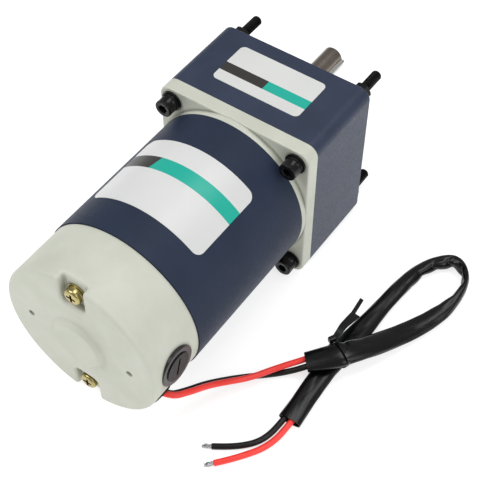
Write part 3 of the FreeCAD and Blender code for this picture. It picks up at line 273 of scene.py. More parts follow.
@dataclass(frozen=True)
class PrintedFoil(Finish):
    """A silver-white foil label with one printed stripe, dark to a slanted end and then green-blue.

    The stripe lies between two places along y. Across it the place is x on a flat label, or the
    tube's radius times the angle round the tube on a wrapped one.
    """

    stripe: tuple[float, float] = (0.0, 0.0)
    split: float = 0.0
    slant: float = 0.25
    wrap_radius: float = 0.0
    dark: str = "#2f2d2c"
    bright: str = "#12ab98"

    def base_colour(self, tree: NodeTree, where: NodeSocket) -> NodeSocket:
        """Lay the stripe's two inks over the foil's colour.

        Args:
            tree: the material's node tree.
            where: the coordinates.

        Returns:
            A colour socket.
        """
        foil = Finish.base_colour(self, tree, where)
        spot = add_node(tree, "SeparateXYZ", {0: where}).outputs
        across = spot["X"]
        if self.wrap_radius:
            angle = calculate(tree, "ARCTAN2", spot["X"], spot["Z"])
            across = calculate(tree, "MULTIPLY", angle, self.wrap_radius * MM)
        slope = calculate(tree, "MULTIPLY_ADD", spot["Y"], -self.slant, across)
        middle = sum(self.stripe) / 2
        end = (self.split - self.slant * middle) * MM
        past = calculate(tree, "GREATER_THAN", slope, end)
        ink = blend(tree, past, linear(self.dark), linear(self.bright))
        half = abs(self.stripe[0] - self.stripe[1]) / 2 * MM
        inside = calculate(tree, "COMPARE", spot["Y"], middle * MM, half)
        return blend(tree, inside, foil, ink)


# ---- finishes ----
# Powder coat on die-cast aluminium: a thick film whose skin dries in small waves, so edges glitter.
CASE_PAINT = Finish(
    "slate_navy_powder_coat", "#2e384e", "#293246", (0.38, 0.52), ior=1.4, grain_mm=1.1,
    depth_mm=0.05, detail=2.0, blotch_mm=18.0)
# Stoved enamel on a drawn steel tube: thinner and smoother, with an even half gloss.
TUBE_PAINT = Finish(
    "navy_stoved_enamel", "#222d43", "#1e293d", (0.5, 0.6), ior=1.33, grain_mm=1.4, depth_mm=0.02,
    detail=2.0, blotch_mm=25.0)
# Die-cast aluminium, blasted and passivated: pale and matt, with soft mould waves and fine pits,
# with painted shade darkening its holes and corners.
CAST = Finish(
    "blasted_cast_aluminium", "#cbcdc1", "#c3c6b8", (0.5, 0.64), metallic=0.1, grain_mm=1.6,
    depth_mm=0.03, detail=5.0, blotch_mm=14.0, crevice_shade_mm=1.7)
# Aluminium faced on a lathe: bright, with fine rings that draw the light out into arcs.
MACHINED = Finish(
    "turned_aluminium", "#c9cacb", "#bdbec0", (0.22, 0.36), metallic=1.0, grain=Grain.TURNED,
    grain_mm=0.5)
# Hardened steel, blackened in hot salts and oiled: the oxide film hides the metal, so it shows
# black with a low sheen.
BLACK_OXIDE = Finish(
    "hot_blacked_steel", "#0e0e0f", "#131314", (0.14, 0.24), ior=1.32, grain_mm=0.8, depth_mm=0.02,
    blotch_mm=3.0)
# Zinc plate with a yellow passivation: gold with faint green and pink clouds.
YELLOW_ZINC = Finish(
    "yellow_zinc_plate", "#b9ac72", "#a5976a", (0.16, 0.28), metallic=1.0, grain_mm=0.8,
    blotch_mm=2.5)
# Steel ground round its axis: fine rings that stretch the highlight along the shaft.
GROUND = Finish(
    "centreless_ground_steel", "#8a8178", "#7c736b", (0.24, 0.36), metallic=1.0, grain=Grain.TURNED,
    grain_mm=0.25, depth_mm=0.008, axis=(0.0, 15.0))
GROUND_ON_AXIS = replace(GROUND, name="ground_steel_on_motor_axis", axis=(0.0, 0.0))
# Key steel, drawn through a square die: bright, with faint lines along it.
KEY = Finish(
    "bright_drawn_key_steel", "#c8c6c2", "#b9b7b3", (0.2, 0.34), metallic=1.0, grain=Grain.DRAWN,
    grain_mm=0.3)
# Hobbed and carburised gear steel under a film of grease.
GEAR = Finish(
    "carburised_gear_steel", "#85817b", "#716d68", (0.25, 0.4), metallic=1.0, grain_mm=0.6,
    coat=0.3)
# Bearing steel, hardened, ground and polished: nearly a mirror.
BEARING = Finish(
    "polished_bearing_steel", "#b9babd", "#acadb1", (0.1, 0.2), metallic=1.0, grain=Grain.TURNED,
    grain_mm=0.3, depth_mm=0.003)
# Oil-soaked sintered bronze: brown-gold and slightly open-pored.
BRONZE = Finish(
    "oil_filled_sintered_bronze", "#9a7440", "#86642f", (0.35, 0.5), metallic=1.0, grain_mm=0.3,
    depth_mm=0.02)
# Nitrile rubber, moulded: black, dull and a little dusty.
RUBBER = Finish(
    "moulded_nitrile_rubber", "#18181a", "#202022", (0.5, 0.7), grain_mm=0.5, depth_mm=0.015)
# Pressed and fired ferrite: charcoal, dull, with a ground inner face.
FERRITE = Finish(
    "sintered_ferrite", "#35353a", "#2c2c30", (0.45, 0.65), metallic=0.2, grain_mm=0.5,
    depth_mm=0.02)
# Stacked 0.5 mm electrical steel: fine lines across the axis.
LAMINATIONS = Finish(
    "laminated_electrical_steel", "#7e8085", "#5c5e63", (0.3, 0.5), metallic=1.0,
    grain=Grain.LAYERED, grain_mm=0.5, depth_mm=0.05)
# Enamelled copper wire under varnish: red-brown with a wet gloss.
COPPER = Finish(
    "enamelled_copper", "#a8562f", "#8a4424", (0.25, 0.4), metallic=0.8, coat=0.4,
    grain=Grain.DRAWN, grain_mm=0.8, depth_mm=0.08)
# Copper strands dipped in solder: silver, with soft clouds where the solder ran.
TINNED = Finish(
    "tinned_copper_strands", "#c4c4c6", "#a9a9ac", (0.2, 0.34), metallic=1.0, grain_mm=0.4,
    blotch_mm=1.5)
# Pressed carbon and graphite: dark grey with a pencil sheen.
CARBON = Finish(
    "pressed_carbon", "#2d2d2f", "#3a3a3c", (0.4, 0.6), metallic=0.3, grain_mm=0.3, depth_mm=0.02)
# Coiled spring wire, phosphated and oiled: mid grey with a soft gleam.
SPRING = Finish(
    "phosphated_spring_steel", "#77777a", "#66666a", (0.25, 0.4), metallic=1.0, grain_mm=0.4)
# Moulded phenolic: hard and dense, with a clean mould gloss and a trace of brown in the cap.
PHENOLIC_BLACK = Finish(
    "moulded_phenolic_black", "#1d1a1a", "#242020", (0.22, 0.34), grain_mm=0.8, depth_mm=0.008)
PHENOLIC_BROWN = Finish(
    "moulded_phenolic_brown", "#0c0807", "#090606", (0.22, 0.36), ior=1.23, grain_mm=0.8)
# Polyester foil labels: silver-white, half gloss, printed with one stripe.
CASE_FOIL = PrintedFoil(
    "printed_foil_gear_case", "#d7d8d6", "#d1d2d0", (0.3, 0.4), grain_mm=3.0, blotch_mm=30.0,
    stripe=(-21.3, -27.0), split=-0.5, slant=0.0)
TUBE_FOIL = PrintedFoil(
    "printed_foil_tube", "#d9dad9", "#d4d5d4", (0.3, 0.4), grain_mm=3.0, blotch_mm=30.0,
    stripe=(-84.2, -91.8), split=-13.3, wrap_radius=40.2)
# Extruded PVC insulation: saturated, half matt, with slight waves from the die.
RED_PVC = Finish(
    "red_pvc_insulation", "#ff3f38", "#f53931", (0.32, 0.44), grain_mm=2.5, depth_mm=0.05,
    blotch_mm=20.0)
BLACK_PVC = Finish(
    "black_pvc_insulation", "#0b0b0c", "#0f0f10", (0.3, 0.42), ior=1.38, grain_mm=2.5,
    depth_mm=0.05, blotch_mm=20.0)
# Soft thin PVC sleeving, extruded: black, with an oily half gloss and faint lines drawn along it.
SLEEVING = Finish(
    "soft_pvc_sleeving", "#060606", "#080808", (0.2, 0.3), ior=1.38, grain=Grain.ALONG_SURFACE,
    grain_mm=1.2, depth_mm=0.06, blotch_mm=6.0)
# Moulded polyamide: black with a wet-looking mould gloss.
NYLON = Finish(
    "moulded_black_polyamide", "#0a0a0b", "#0e0e10", (0.14, 0.24), ior=1.4, grain_mm=0.7,
    depth_mm=0.006)

SLOT_FINISHES = {
    "gear_case_paint": CASE_PAINT, "tube_paint": TUBE_PAINT, "cast_aluminium": CAST,
    "machined_aluminium": MACHINED, "black_oxide_steel": BLACK_OXIDE,
    "yellow_zinc_steel": YELLOW_ZINC, "ground_steel": GROUND, "key_steel": KEY,
    "gear_steel": GEAR, "bearing_steel": BEARING, "sintered_bronze": BRONZE,
    "nitrile_rubber": RUBBER, "ferrite": FERRITE, "laminated_steel": LAMINATIONS,
    "copper": COPPER, "tinned_copper": TINNED, "carbon": CARBON, "spring_steel": SPRING,
    "phenolic_black": PHENOLIC_BLACK, "phenolic_brown": PHENOLIC_BROWN, "label_foil": CASE_FOIL,
    "red_pvc": RED_PVC, "black_pvc": BLACK_PVC, "sleeve_pvc": SLEEVING, "nylon_black": NYLON,
}
NODE_FINISHES = {"motor_label": TUBE_FOIL, "armature_shaft": GROUND_ON_AXIS}


# ---- surfaces ----
@dataclass
class Surface:
    """A mesh piece made of grids of points, each closed by wrapping or by fans at its ends."""

    name: str
    points: list[Array] = field(default_factory=list)
    faces: list[list[int]] = field(default_factory=list)
    corners: list[Array] = field(default_factory=list)
    count: int = 0

    def add(self, grid: Array, wrap_rows: bool = False,
            spacing: tuple[float, float] = (1.0, 1.0)) -> None:
        """Add one grid whose columns close on themselves, with its faces turned outwards.

        Neighbouring points make four-sided faces. Where the rows don't wrap, a fan of triangles to
        the mean of the end row closes each end. The enclosed volume is a sixth of the sum of the
        triple products of the faces' corners, and where it is negative every face is reversed.

        Args:
            grid: points in mm, rows by columns by three.
            wrap_rows: whether the last row joins the first.
            spacing: millimetres between columns and between rows, for the UV map.
        """
        rows, columns = grid.shape[:2]
        i, j = np.indices((rows if wrap_rows else rows - 1, columns)).reshape(2, -1)
        here, below, right = i * columns, (i + 1) % rows * columns, (j + 1) % columns
        quads = np.stack([here + j, here + right, below + right, below + j], 1)
        uv = np.stack([np.stack([j, j + 1, j + 1, j], 1), np.stack([i, i, i + 1, i + 1], 1)], 2)
        points = grid.reshape(-1, 3)
        fans = np.empty((0, 3), int)
        fan_uv = np.empty((0, 3, 2))
        if not wrap_rows:
            points = np.vstack([points, grid[0].mean(0), grid[-1].mean(0)])
            ring = np.arange(columns)
            following = (ring + 1) % columns
            last = (rows - 1) * columns
            middle = np.full(columns, rows * columns)
            fans = np.vstack([np.stack([following, ring, middle], 1),
                              np.stack([last + ring, last + following, middle + 1], 1)])
            across = np.stack([ring, ring + 1, ring + 0.5], 1)
            along = np.repeat([[0, 0, -1], [rows, rows, rows + 1]], columns, 0)
            fan_uv = np.stack([np.vstack([across, across]), along], 2)
        halves = np.vstack([quads[:, :3], quads[:, [0, 2, 3]], fans])
        a, b, c = points[halves[:, 0]], points[halves[:, 1]], points[halves[:, 2]]
        turn = -1 if np.einsum("ij,ij->i", a, np.cross(b, c)).sum() < 0 else 1
        scale = np.array(spacing) * MM
        for faces, places in ((quads, uv), (fans, fan_uv)):
            self.faces += (faces[:, ::turn] + self.count).tolist()
            self.corners.append((places[:, ::turn] * scale).reshape(-1, 2))
        self.points.append(points)
        self.count += len(points)

    def build(self, finish: Finish, sharp: float = 40.0) -> Object:
        """Write the mesh and give it its finish.

        Args:
            finish: the material to use.
            sharp: edges with a larger angle than this, in degrees, stay crisp.

        Returns:
            The new object, linked to the scene.
        """
        mesh = bpy.data.meshes.new(self.name)
        mesh.from_pydata((np.vstack(self.points) * MM).tolist(), [], self.faces)
        mesh.uv_layers.new(name="UVMap").uv.foreach_set("vector", np.vstack(self.corners).ravel())
        mesh.polygons.foreach_set("use_smooth", np.ones(len(mesh.polygons), bool))
        mesh.set_sharp_from_angle(angle=math.radians(sharp))
        mesh.materials.append(finish.material())
        return link(self.name, mesh)


def angles(columns: int) -> Array:
    """Evenly spaced angles round a full turn.

    Args:
        columns: how many.

    Returns:
        The angles, in radians.
    """
    return np.arange(columns) * TURN / columns


def squared(values: Array, power: float) -> Array:
    """Raise to a power and keep the sign, which makes a round section of sines squarer.

    Args:
        values: sines or cosines.
        power: 1 leaves them, near 0 gives a square.

    Returns:
        The new values.
    """
    return np.sign(values) * np.abs(values) ** power


def revolve(radius: Array, along: Array, axis: tuple[float, float]) -> Array:
    """Carry radii round an axis that runs along y: x and z are the axis plus r times cos and sin.

    Args:
        radius: rows by columns, in mm.
        along: the place along y of each row.
        axis: x and z of the axis.

    Returns:
        The grid of points.
    """
    turn = angles(radius.shape[1])
    along = np.broadcast_to(along[:, None], radius.shape)
    return np.stack([axis[0] + radius * np.cos(turn), along, axis[1] + radius * np.sin(turn)], 2)


def smooth_line(name: str, route: Route) -> Curve:
    """A smooth curve pulled by the route's points: every place on it is a quadratic blend of three.

    Args:
        name: the curve's name.
        route: the control points, in mm.

    Returns:
        A curve of one open NURBS spline that starts and ends on the first and last points.
    """
    curve = bpy.data.curves.new(name, "CURVE")
    curve.dimensions = "3D"
    spline = curve.splines.new("NURBS")
    spline.points.add(len(route) - 1)
    places = np.column_stack([np.array(route) * MM, np.ones(len(route))])
    spline.points.foreach_set("co", places.ravel())
    spline.order_u = 3
    spline.use_endpoint_u = True
    spline.resolution_u = LINE_RESOLUTION
    return curve


def travelled(points: Array) -> Array:
    """Distance along a line at each of its points.

    Args:
        points: the line's points.

    Returns:
        Distances from the first point.
    """
    return np.concatenate([[0.0], np.cumsum(np.linalg.norm(np.diff(points, axis=0), axis=1))])


def line_points(curve: Curve, step: float) -> Array:
    """Read a bevel-less curve's line and space its points evenly along it.

    Args:
        curve: the curve.
        step: the spacing in mm.

    Returns:
        Points in mm.
    """
    holder = bpy.data.objects.new("line", curve)
    mesh = bpy.data.meshes.new_from_object(holder)
    raw = np.zeros(len(mesh.vertices) * 3)
    mesh.vertices.foreach_get("co", raw)
    raw = raw.reshape(-1, 3) / MM
    bpy.data.objects.remove(holder)
    bpy.data.meshes.remove(mesh)
    far = travelled(raw)
    even = np.linspace(0, far[-1], int(far[-1] / step) + 1)
    return np.stack([np.interp(even, far, raw[:, k]) for k in range(3)], 1)


def unit(vectors: Array) -> Array:
    """Scale vectors to a length of one.

    Args:
        vectors: one vector, or one per row.

    Returns:
        The unit vectors.
    """
    return vectors / np.linalg.norm(vectors, axis=-1, keepdims=True)


def line_frames(points: Array) -> tuple[Array, Array, Array]:
    """Direction, level sideways direction and upward direction at each point of a line.

    Sideways is the direction crossed with straight up, and upward is sideways crossed with it.

    Args:
        points: the line's points.

    Returns:
        Three arrays of unit vectors.
    """
    ahead = unit(np.gradient(points, axis=0))
    side = unit(np.cross(ahead, (0.0, 0.0, 1.0)))
    return ahead, side, np.cross(side, ahead)


def soft_box(centre: Array, axes: Array, half: Array, power: float,
             count: int = 24) -> Array:
    """A box with rounded edges: a sphere's cosines and sines, each raised to a small power.

    Args:
        centre: the middle, in mm.
        axes: three unit vectors, one per row.
        half: half the size along each axis.
        power: 1 for an ellipsoid, near 0 for a sharp box.
        count: rows and half the columns.

    Returns:
        The grid of points.
    """
    tilt = np.linspace(-TURN / 4 + POLE_GAP, TURN / 4 - POLE_GAP, count)[:, None]
    turn = angles(count * 2)[None]
    girth = squared(np.cos(tilt), power)
    local = np.stack([girth * squared(np.cos(turn), power), girth * squared(np.sin(turn), power),
                      np.broadcast_to(squared(np.sin(tilt), power), (count, count * 2))], 2)
    return centre + (local * half) @ axes


def ribbon(line: Array, across: Array, width: Array, thickness: float) -> Array:
    """A flat strap along a line: eight corners of a chamfered rectangle carried along it.

    Args:
        line: the middle line, in mm.
        across: unit vectors of the strap's width at each point.
        width: the full width at each point.
        thickness: the strap's thickness.

    Returns:
        The grid of points, eight columns.
    """
    over = unit(np.cross(np.gradient(line, axis=0), across))
    bevel = thickness * STRAP_BEVEL
    edge = 1 - 2 * STRAP_BEVEL
    u = np.stack([width / 2 - bevel * (k in (0, 3, 4, 7)) for k in range(8)], 1)
    u *= np.array([1, 1, 1, 1, -1, -1, -1, -1])
    v = np.array([-1, -edge, edge, 1, 1, edge, -edge, -1]) * thickness / 2
    return line[:, None] + u[..., None] * across[:, None] + v[None, :, None] * over[:, None]


# ---- hardware ----
CORNERS = tuple((sx, sz) for sx in (-1, 1) for sz in (-1, 1))


@dataclass
class MountingScrews:
    """Four long socket-head screws from behind the flange to well in front of the nuts."""

    spacing: float = 33.23
    head_r: float = 4.25
    under_head: float = -52.4
    head: float = 5.0
    edge: float = 0.5
    knurl: float = 0.06
    rim_rows: int = 6
    knurl_from: float = 0.15
    knurl_to: float = 0.35
    head_bevel: float = 0.3
    socket_flats: float = 4.0
    socket_depth: float = 2.6
    socket_taper: float = 0.99
    socket_bevel: float = 0.2
    socket_mouth: float = 0.6
    shank_r: float = 2.2
    thread_start: float = 1.0
    run_out: float = 0.4
    turn_rows: int = 9
    flank_slope: float = 1.35
    root_flat: float = 0.15
    tip: float = 17.6
    chamfer: float = 0.6
    pitch: float = 0.8
    minor_r: float = 2.02
    major_r: float = 2.5
    columns: int = 72

    def socket(self) -> Array:
        """Radius of the hexagonal socket: half the flats over the cosine to the nearest flat.

        Returns:
            A radius for each column.
        """
        turn = np.mod(angles(self.columns), TURN / 6) - TURN / 12
        return self.socket_flats / 2 / np.cos(turn)

    def head_rows(self) -> tuple[Array, Array]:
        """Rows from the socket's floor over the rounded rim to the shank.

        Returns:
            Radii, rows by columns, and the place along y of each row.
        """
        rear = self.under_head - self.head
        hexagon = self.socket()
        ridge = np.where(np.arange(self.columns) % 2, 0.0, -self.knurl)
        rows = [(hexagon * self.socket_taper, rear + self.socket_depth),
                (hexagon, rear + self.socket_bevel),
                (np.maximum(hexagon, self.socket_flats * self.socket_mouth), rear)]
        rows += [(self.head_r - self.edge * (1 - math.sin(a)), rear + self.edge * (1 - math.cos(a)))
                 for a in np.linspace(0, TURN / 4, self.rim_rows)]
        rows += [(self.head_r + ridge, rear + self.edge + self.knurl_from),
                 (self.head_r + ridge, self.under_head - self.knurl_to),
                 (self.head_r, self.under_head - self.head_bevel),
                 (self.head_r - self.head_bevel, self.under_head),
                 (self.shank_r, self.under_head),
                 (self.shank_r, self.thread_start - self.run_out)]
        radii = np.array([np.broadcast_to(radius, self.columns) for radius, _ in rows])
        return radii, np.array([place for _, place in rows])

    def thread_rows(self) -> tuple[Array, Array]:
        """Rows of the right-hand thread.

        The flank is a triangle wave of the turns along the pitch plus the turn round the axis, cut
        flat at root and crest, and the chamfer at the tip limits it.

        Returns:
            Radii, rows by columns, and the place along y of each row.
        """
        along = np.arange(self.thread_start, self.tip, self.pitch / self.turn_rows)
        along = np.append(along, self.tip)
        phase = along[:, None] / self.pitch + angles(self.columns)[None] / TURN
        wave = np.abs(2 * np.mod(phase, 1) - 1)
        flank = np.clip(self.flank_slope * wave - self.root_flat, 0, 1)
        radius = self.minor_r + (self.major_r - self.minor_r) * flank
        taper = self.major_r - (along - (self.tip - self.chamfer))
        return np.minimum(radius, taper[:, None]), along

    def build(self) -> Object:
        """Make all four screws as one piece that stands for the plain ones.

        Returns:
            The piece.
        """
        surface = Surface("mounting_screws_threaded")
        head_r, head_y = self.head_rows()
        thread_r, thread_y = self.thread_rows()
        radius = np.vstack([head_r, thread_r])
        along = np.concatenate([head_y, thread_y])
        for sx, sz in CORNERS:
            surface.add(revolve(radius, along, (sx * self.spacing, sz * self.spacing)))
        piece = surface.build(BLACK_OXIDE)
        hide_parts("mounting_screws")
        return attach(piece, "housing")


@dataclass
class SpringWashers:
    """Split rings under a set of screw heads."""

    name: str
    node: str
    slot: str
    axes: tuple[tuple[float, float], ...]
    front: float
    rear: float
    inner_r: float
    outer_r: float
    split: float = 5.0
    slant: float = 9.0
    edge: float = 0.12
    rows: int = 96
    first_gap: float = 40.0
    next_gap: float = 83.0

    def ring(self, axis: tuple[float, float], start: float) -> Array:
        """One split ring: a chamfered rectangle carried round nearly a full turn.

        The angle of a point runs evenly between the two ends and leans with its place along y, so
        the gap is cut aslant.

        Args:
            axis: x and z of the screw.
            start: the angle of the gap, in degrees.

        Returns:
            The grid of points.
        """
        e = self.edge
        r = np.array([self.inner_r, self.inner_r + e, self.outer_r - e, self.outer_r])
        r = np.concatenate([r, r[::-1]])
        y = np.array([self.front - e, self.front, self.front, self.front - e,
                      self.rear + e, self.rear, self.rear, self.rear + e])
        turn = np.radians(start + np.linspace(self.split, 360 - self.split, self.rows))[:, None]
        lean = math.radians(self.slant) * (y - self.rear) / (self.front - self.rear)
        angle = turn + lean[None]
        return np.stack([axis[0] + r * np.cos(angle), np.broadcast_to(y, angle.shape),
                         axis[1] + r * np.sin(angle)], 2)

    def build(self) -> Object:
        """Make the rings as one piece that stands for the plain ones.

        Returns:
            The piece.
        """
        surface = Surface(self.name)
        for count, axis in enumerate(self.axes):
            surface.add(self.ring(axis, self.first_gap + self.next_gap * count))
        piece = surface.build(SLOT_FINISHES[self.slot], sharp=30.0)
        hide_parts(self.node)
        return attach(piece, "housing")


# ---- leads ----
@dataclass
class Lead:
    """One visible stretch of an insulated stranded lead."""

    name: str
    route: Route
    node: str
    slot: str
    far_end: str
    length: float
    radius: float = 1.4
    roundness: int = 6

    def build(self, ends: Sequence[Object] = ()) -> Object:
        """Make the stretch as a round cord along its smooth line.

        Args:
            ends: pieces that sit on this stretch; not used.

        Returns:
            The curve object.
        """
        curve = smooth_line(self.name, self.route)
        curve.bevel_depth = self.radius * MM
        curve.bevel_resolution = self.roundness
        curve.use_fill_caps = True
        curve.materials.append(SLOT_FINISHES[self.slot].material())
        piece = link(self.name, curve)
        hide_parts(self.node)
        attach(piece, "housing")
        return piece


@dataclass
class TinnedEnds:
    """Bare twisted strands, dipped in solder, at the free ends of the leads."""

    ends: tuple[tuple[Point, Point], ...]
    length: float = 4.2
    inside: float = 1.0
    strand_r: float = 0.33
    ring_r: float = 0.68
    outer: int = 6
    splay: float = 0.35
    splay_turn: float = 2.4
    lay: float = 9.0
    rows: int = 24
    columns: int = 10

    def strands(self, before: Point, end: Point) -> list[Array]:
        """Seven round strands: one straight, and six that wind round it once in each lay length.

        The six part from the middle or close on it with the square of the distance, by the cosine
        of the strand's number, so the end looks cut and a little frayed.

        Args:
            before: the route's last point but one.
            end: the lead's end, where the strands start.

        Returns:
            One grid for each strand.
        """
        end = np.array(end)
        ahead = unit(end - np.array(before))
        side = unit(np.cross(ahead, (0.0, 0.0, 1.0)))
        up = np.cross(side, ahead)
        along = np.linspace(-self.inside, self.length, self.rows)[:, None, None]
        section = angles(self.columns)[None, :, None]
        grids = []
        for strand in range(self.outer + 1):
            fray = self.splay * (along / self.length) ** 2 * math.cos(self.splay_turn * strand)
            reach = self.ring_r + fray if strand else 0.0
            wind = TURN * (strand / self.outer + along / self.lay)
            middle = end + along * ahead + reach * (np.cos(wind) * side + np.sin(wind) * up)
            grids.append(middle + self.strand_r * (np.cos(section) * side + np.sin(section) * up))
        return grids

    def build(self) -> Object:
        """Make the strands of both ends as one piece.

        Returns:
            The piece.
        """
        surface = Surface("tinned_strands")
        for before, end in self.ends:
            for grid in self.strands(before, end):
                surface.add(grid)
        piece = surface.build(TINNED)
        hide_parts("tinned_ends")
        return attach(piece, "housing")


@dataclass
class Sleeve:
    """Soft flattened sleeving over both leads, creased along it and buckled in its bends."""

    route: Route
    length: float
    width: float = 8.6
    wall: float = 0.5
    step: float = 0.6
    columns: int = 72
    stations: tuple[float, ...] = (
        0, 7, 11, 15, 19, 26, 35, 45, 55, 64, 73, 80, 86, 91, 99, 103, 107, 112, 117, 123, 131,
        140, 150, 158, 167, 177, 187, 197, 205, 213, 220, 227)
    half_widths: tuple[float, ...] = (
        5.2, 5.7, 6.0, 6.2, 5.8, 5.6, 5.6, 5.4, 5.1, 4.7, 4.0, 2.9, 2.2, 1.9, 1.9, 2.4, 3.2, 3.6,
        3.5, 3.3, 3.8, 4.0, 4.0, 4.4, 5.0, 5.7, 5.6, 5.4, 5.2, 5.1, 5.2, 5.4)
    half_heights: tuple[float, ...] = (
        2.6, 2.8, 3.0, 3.2, 3.1, 2.8, 2.5, 2.4, 2.4, 2.5, 2.9, 3.5, 3.9, 4.1, 4.0, 3.8, 3.6, 3.3,
        3.0, 2.7, 2.6, 2.5, 2.5, 2.5, 2.4, 2.4, 2.4, 2.5, 2.5, 2.5, 2.5, 2.5)
    squareness: float = 0.92
    creases: tuple[tuple[int, float, float, float], ...] = (
        (3, 0.22, 0.9, 61.0), (5, 0.12, 2.1, 43.0), (7, 0.06, 4.0, 29.0))
    wander: float = 0.9
    buckle: float = 1.3
    buckle_pitch: float = 9.0
    buckle_skew: float = 0.5
    buckle_reach: float = 0.25
    full_bend: float = 14.0
    bend_steps: int = 9
    core: float = 1.0
    mean_radius: float = 3.4

    def section(self, far: Array) -> tuple[Array, Array]:
        """Width and height of the flattened section at each distance and angle.

        The cosine and the sine are raised to a power below one, which squares the shape a little.

        Args:
            far: distances along the sleeve, in mm.

        Returns:
            Sideways and upward offsets, rows by columns.
        """
        turn = angles(self.columns)[None]
        half_width = np.interp(far, self.stations, self.half_widths)[:, None]
        half_height = np.interp(far, self.stations, self.half_heights)[:, None]
        return (half_width * squared(np.cos(turn), self.squareness),
                half_height * squared(np.sin(turn), self.squareness))

    def crease_depth(self, far: Array, bend: Array) -> Array:
        """How far the skin sinks at each distance and angle.

        Long creases are the absolute sines of whole multiples of the angle, which drift slowly
        along the sleeve. Buckles are the absolute sines of the distance, on the inner side of a
        bend, as deep as the bend is tight.

        Args:
            far: distances along the sleeve, in mm.
            bend: signed curvature per mm, positive towards sideways.

        Returns:
            Depths in mm, rows by columns.
        """
        turn = angles(self.columns)[None]
        far = far[:, None]
        depth = np.zeros((len(far), self.columns))
        for waves, size, shift, drift in self.creases:
            place = shift + np.sin(far / drift * TURN + shift) * self.wander
            depth += size * (1 - np.abs(np.sin(waves * turn / 2 + place)))
        inner = np.clip(np.cos(turn) * np.sign(bend)[:, None] + self.buckle_reach, 0, 1)
        tightness = np.clip(np.abs(bend)[:, None] * self.full_bend, 0, 1)
        skew = self.buckle_skew * np.sin(2 * turn)
        ripple = 1 - np.abs(np.sin(math.pi * far / self.buckle_pitch + skew))
        return depth + self.buckle * inner * tightness * ripple

    def build(self, ends: Sequence[Object] = ()) -> Object:
        """Make the sleeve as an outer and an inner skin joined at both mouths.

        Args:
            ends: pieces that sit on the sleeve; not used.

        Returns:
            The sleeve's object.
        """
        line = line_points(smooth_line("sleeve_line", self.route), self.step)
        far = travelled(line)
        ahead, side, up = line_frames(line)
        sway = np.gradient(ahead, axis=0) / self.step
        evening = np.ones(self.bend_steps) / self.bend_steps
        bend = np.convolve(np.einsum("ij,ij->i", sway, side), evening, "same")
        across, upward = self.section(far)
        depth = self.crease_depth(far, bend)
        skins = []
        for inset in (0.0, self.wall):
            shrink = 1 - (depth + inset) / np.maximum(np.hypot(across, upward), self.core)
            skin = (line[:, None] + (across * shrink)[..., None] * side[:, None]
                    + (upward * shrink)[..., None] * up[:, None])
            skin[..., 2] = np.maximum(skin[..., 2], FLOOR_Z + inset + FLOOR_GAP)
            skins.append(skin)
        surface = Surface("sleeve_soft")
        surface.add(np.concatenate([skins[0], skins[1][::-1]]), wrap_rows=True,
                    spacing=(TURN * self.mean_radius / self.columns, self.step))
        piece = surface.build(SLEEVING, sharp=60.0)
        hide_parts("lead_sleeve")
        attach(piece, "housing")
        return piece


@dataclass
class CableTie:
    """Nylon tie round the sleeve's two limbs: band, ratchet head, broad strap and thin cut tail."""

    centre: tuple[float, float] = (82.0, -83.6)
    angle: float = -27.8
    half_width: float = 6.75
    low: float = -38.95
    high: float = -26.0
    strap: float = 1.5
    thickness: float = 0.75
    corner: float = 0.6
    rows: int = 96
    head_half: Point = (1.25, 1.9, 1.5)
    head_height: float = -29.2
    head_overlap: float = 0.8
    head_power: float = 0.35
    broad_line: Route = (
        (75.6, -79.6, -29.6), (75.9, -76.0, -28.4), (75.6, -72.0, -28.2), (76.0, -67.0, -28.9),
        (76.4, -62.2, -29.8))
    broad_step: float = 0.5
    broad_start: float = 2.6
    broad_width: float = 4.6
    tail_from: Point = (75.5, -65.6, -29.4)
    tail_end: Point = (73.9, -52.6, -31.2)
    tail_rows: int = 12
    tail_width: float = 2.0
    tail_thickness: float = 1.0
    lean: float = 0.41
    upper_limb_z: float = -29.6

    def directions(self) -> Array:
        """Unit vectors across the bundle, along it and upwards.

        Returns:
            One vector per row.
        """
        c, s = math.cos(math.radians(self.angle)), math.sin(math.radians(self.angle))
        return np.array([(c, s, 0.0), (-s, c, 0.0), (0.0, 0.0, 1.0)])

    def band(self) -> Array:
        """The closed loop: the strap's section on a squared oval that leans with the two limbs.

        Returns:
            The grid of points.
        """
        turn = angles(self.rows)
        axes = self.directions()
        rise = squared(np.sin(turn), self.corner)
        height = (self.low + self.high) / 2 + (self.high - self.low) / 2 * rise
        sideways = (self.half_width * squared(np.cos(turn), self.corner)
                    + self.lean * (height - self.upper_limb_z))
        line = (np.array([*self.centre, 0.0]) + sideways[:, None] * axes[0]
                + height[:, None] * axes[2])
        closed = np.vstack([line[-1:], line, line[:1]])
        across = np.broadcast_to(axes[1], closed.shape)
        return ribbon(closed, across, np.full(len(closed), self.strap), self.thickness)[1:-1]

    def build(self) -> Object:
        """Make the tie as one piece that stands for the plain one.

        Returns:
            The piece.
        """
        axes = self.directions()
        surface = Surface("cable_tie_moulded")
        surface.add(self.band(), wrap_rows=True)
        out = self.half_width + self.head_half[0] * self.head_overlap
        head = np.array([*self.centre, self.head_height]) - axes[0] * out
        surface.add(soft_box(head, axes, np.array(self.head_half), self.head_power))
        broad = line_points(smooth_line("tie_strap_line", self.broad_line), self.broad_step)
        level = line_frames(broad)[1]
        flare = np.linspace(self.broad_start, self.broad_width, len(broad))
        surface.add(ribbon(broad, level, flare, self.thickness))
        tail = np.linspace(self.tail_from, self.tail_end, self.tail_rows)
        surface.add(ribbon(tail, np.broadcast_to(level[-1], tail.shape),
                           np.full(self.tail_rows, self.tail_width), self.tail_thickness))
        piece = surface.build(NYLON, sharp=35.0)
        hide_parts("cable_tie")
        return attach(piece, "housing")


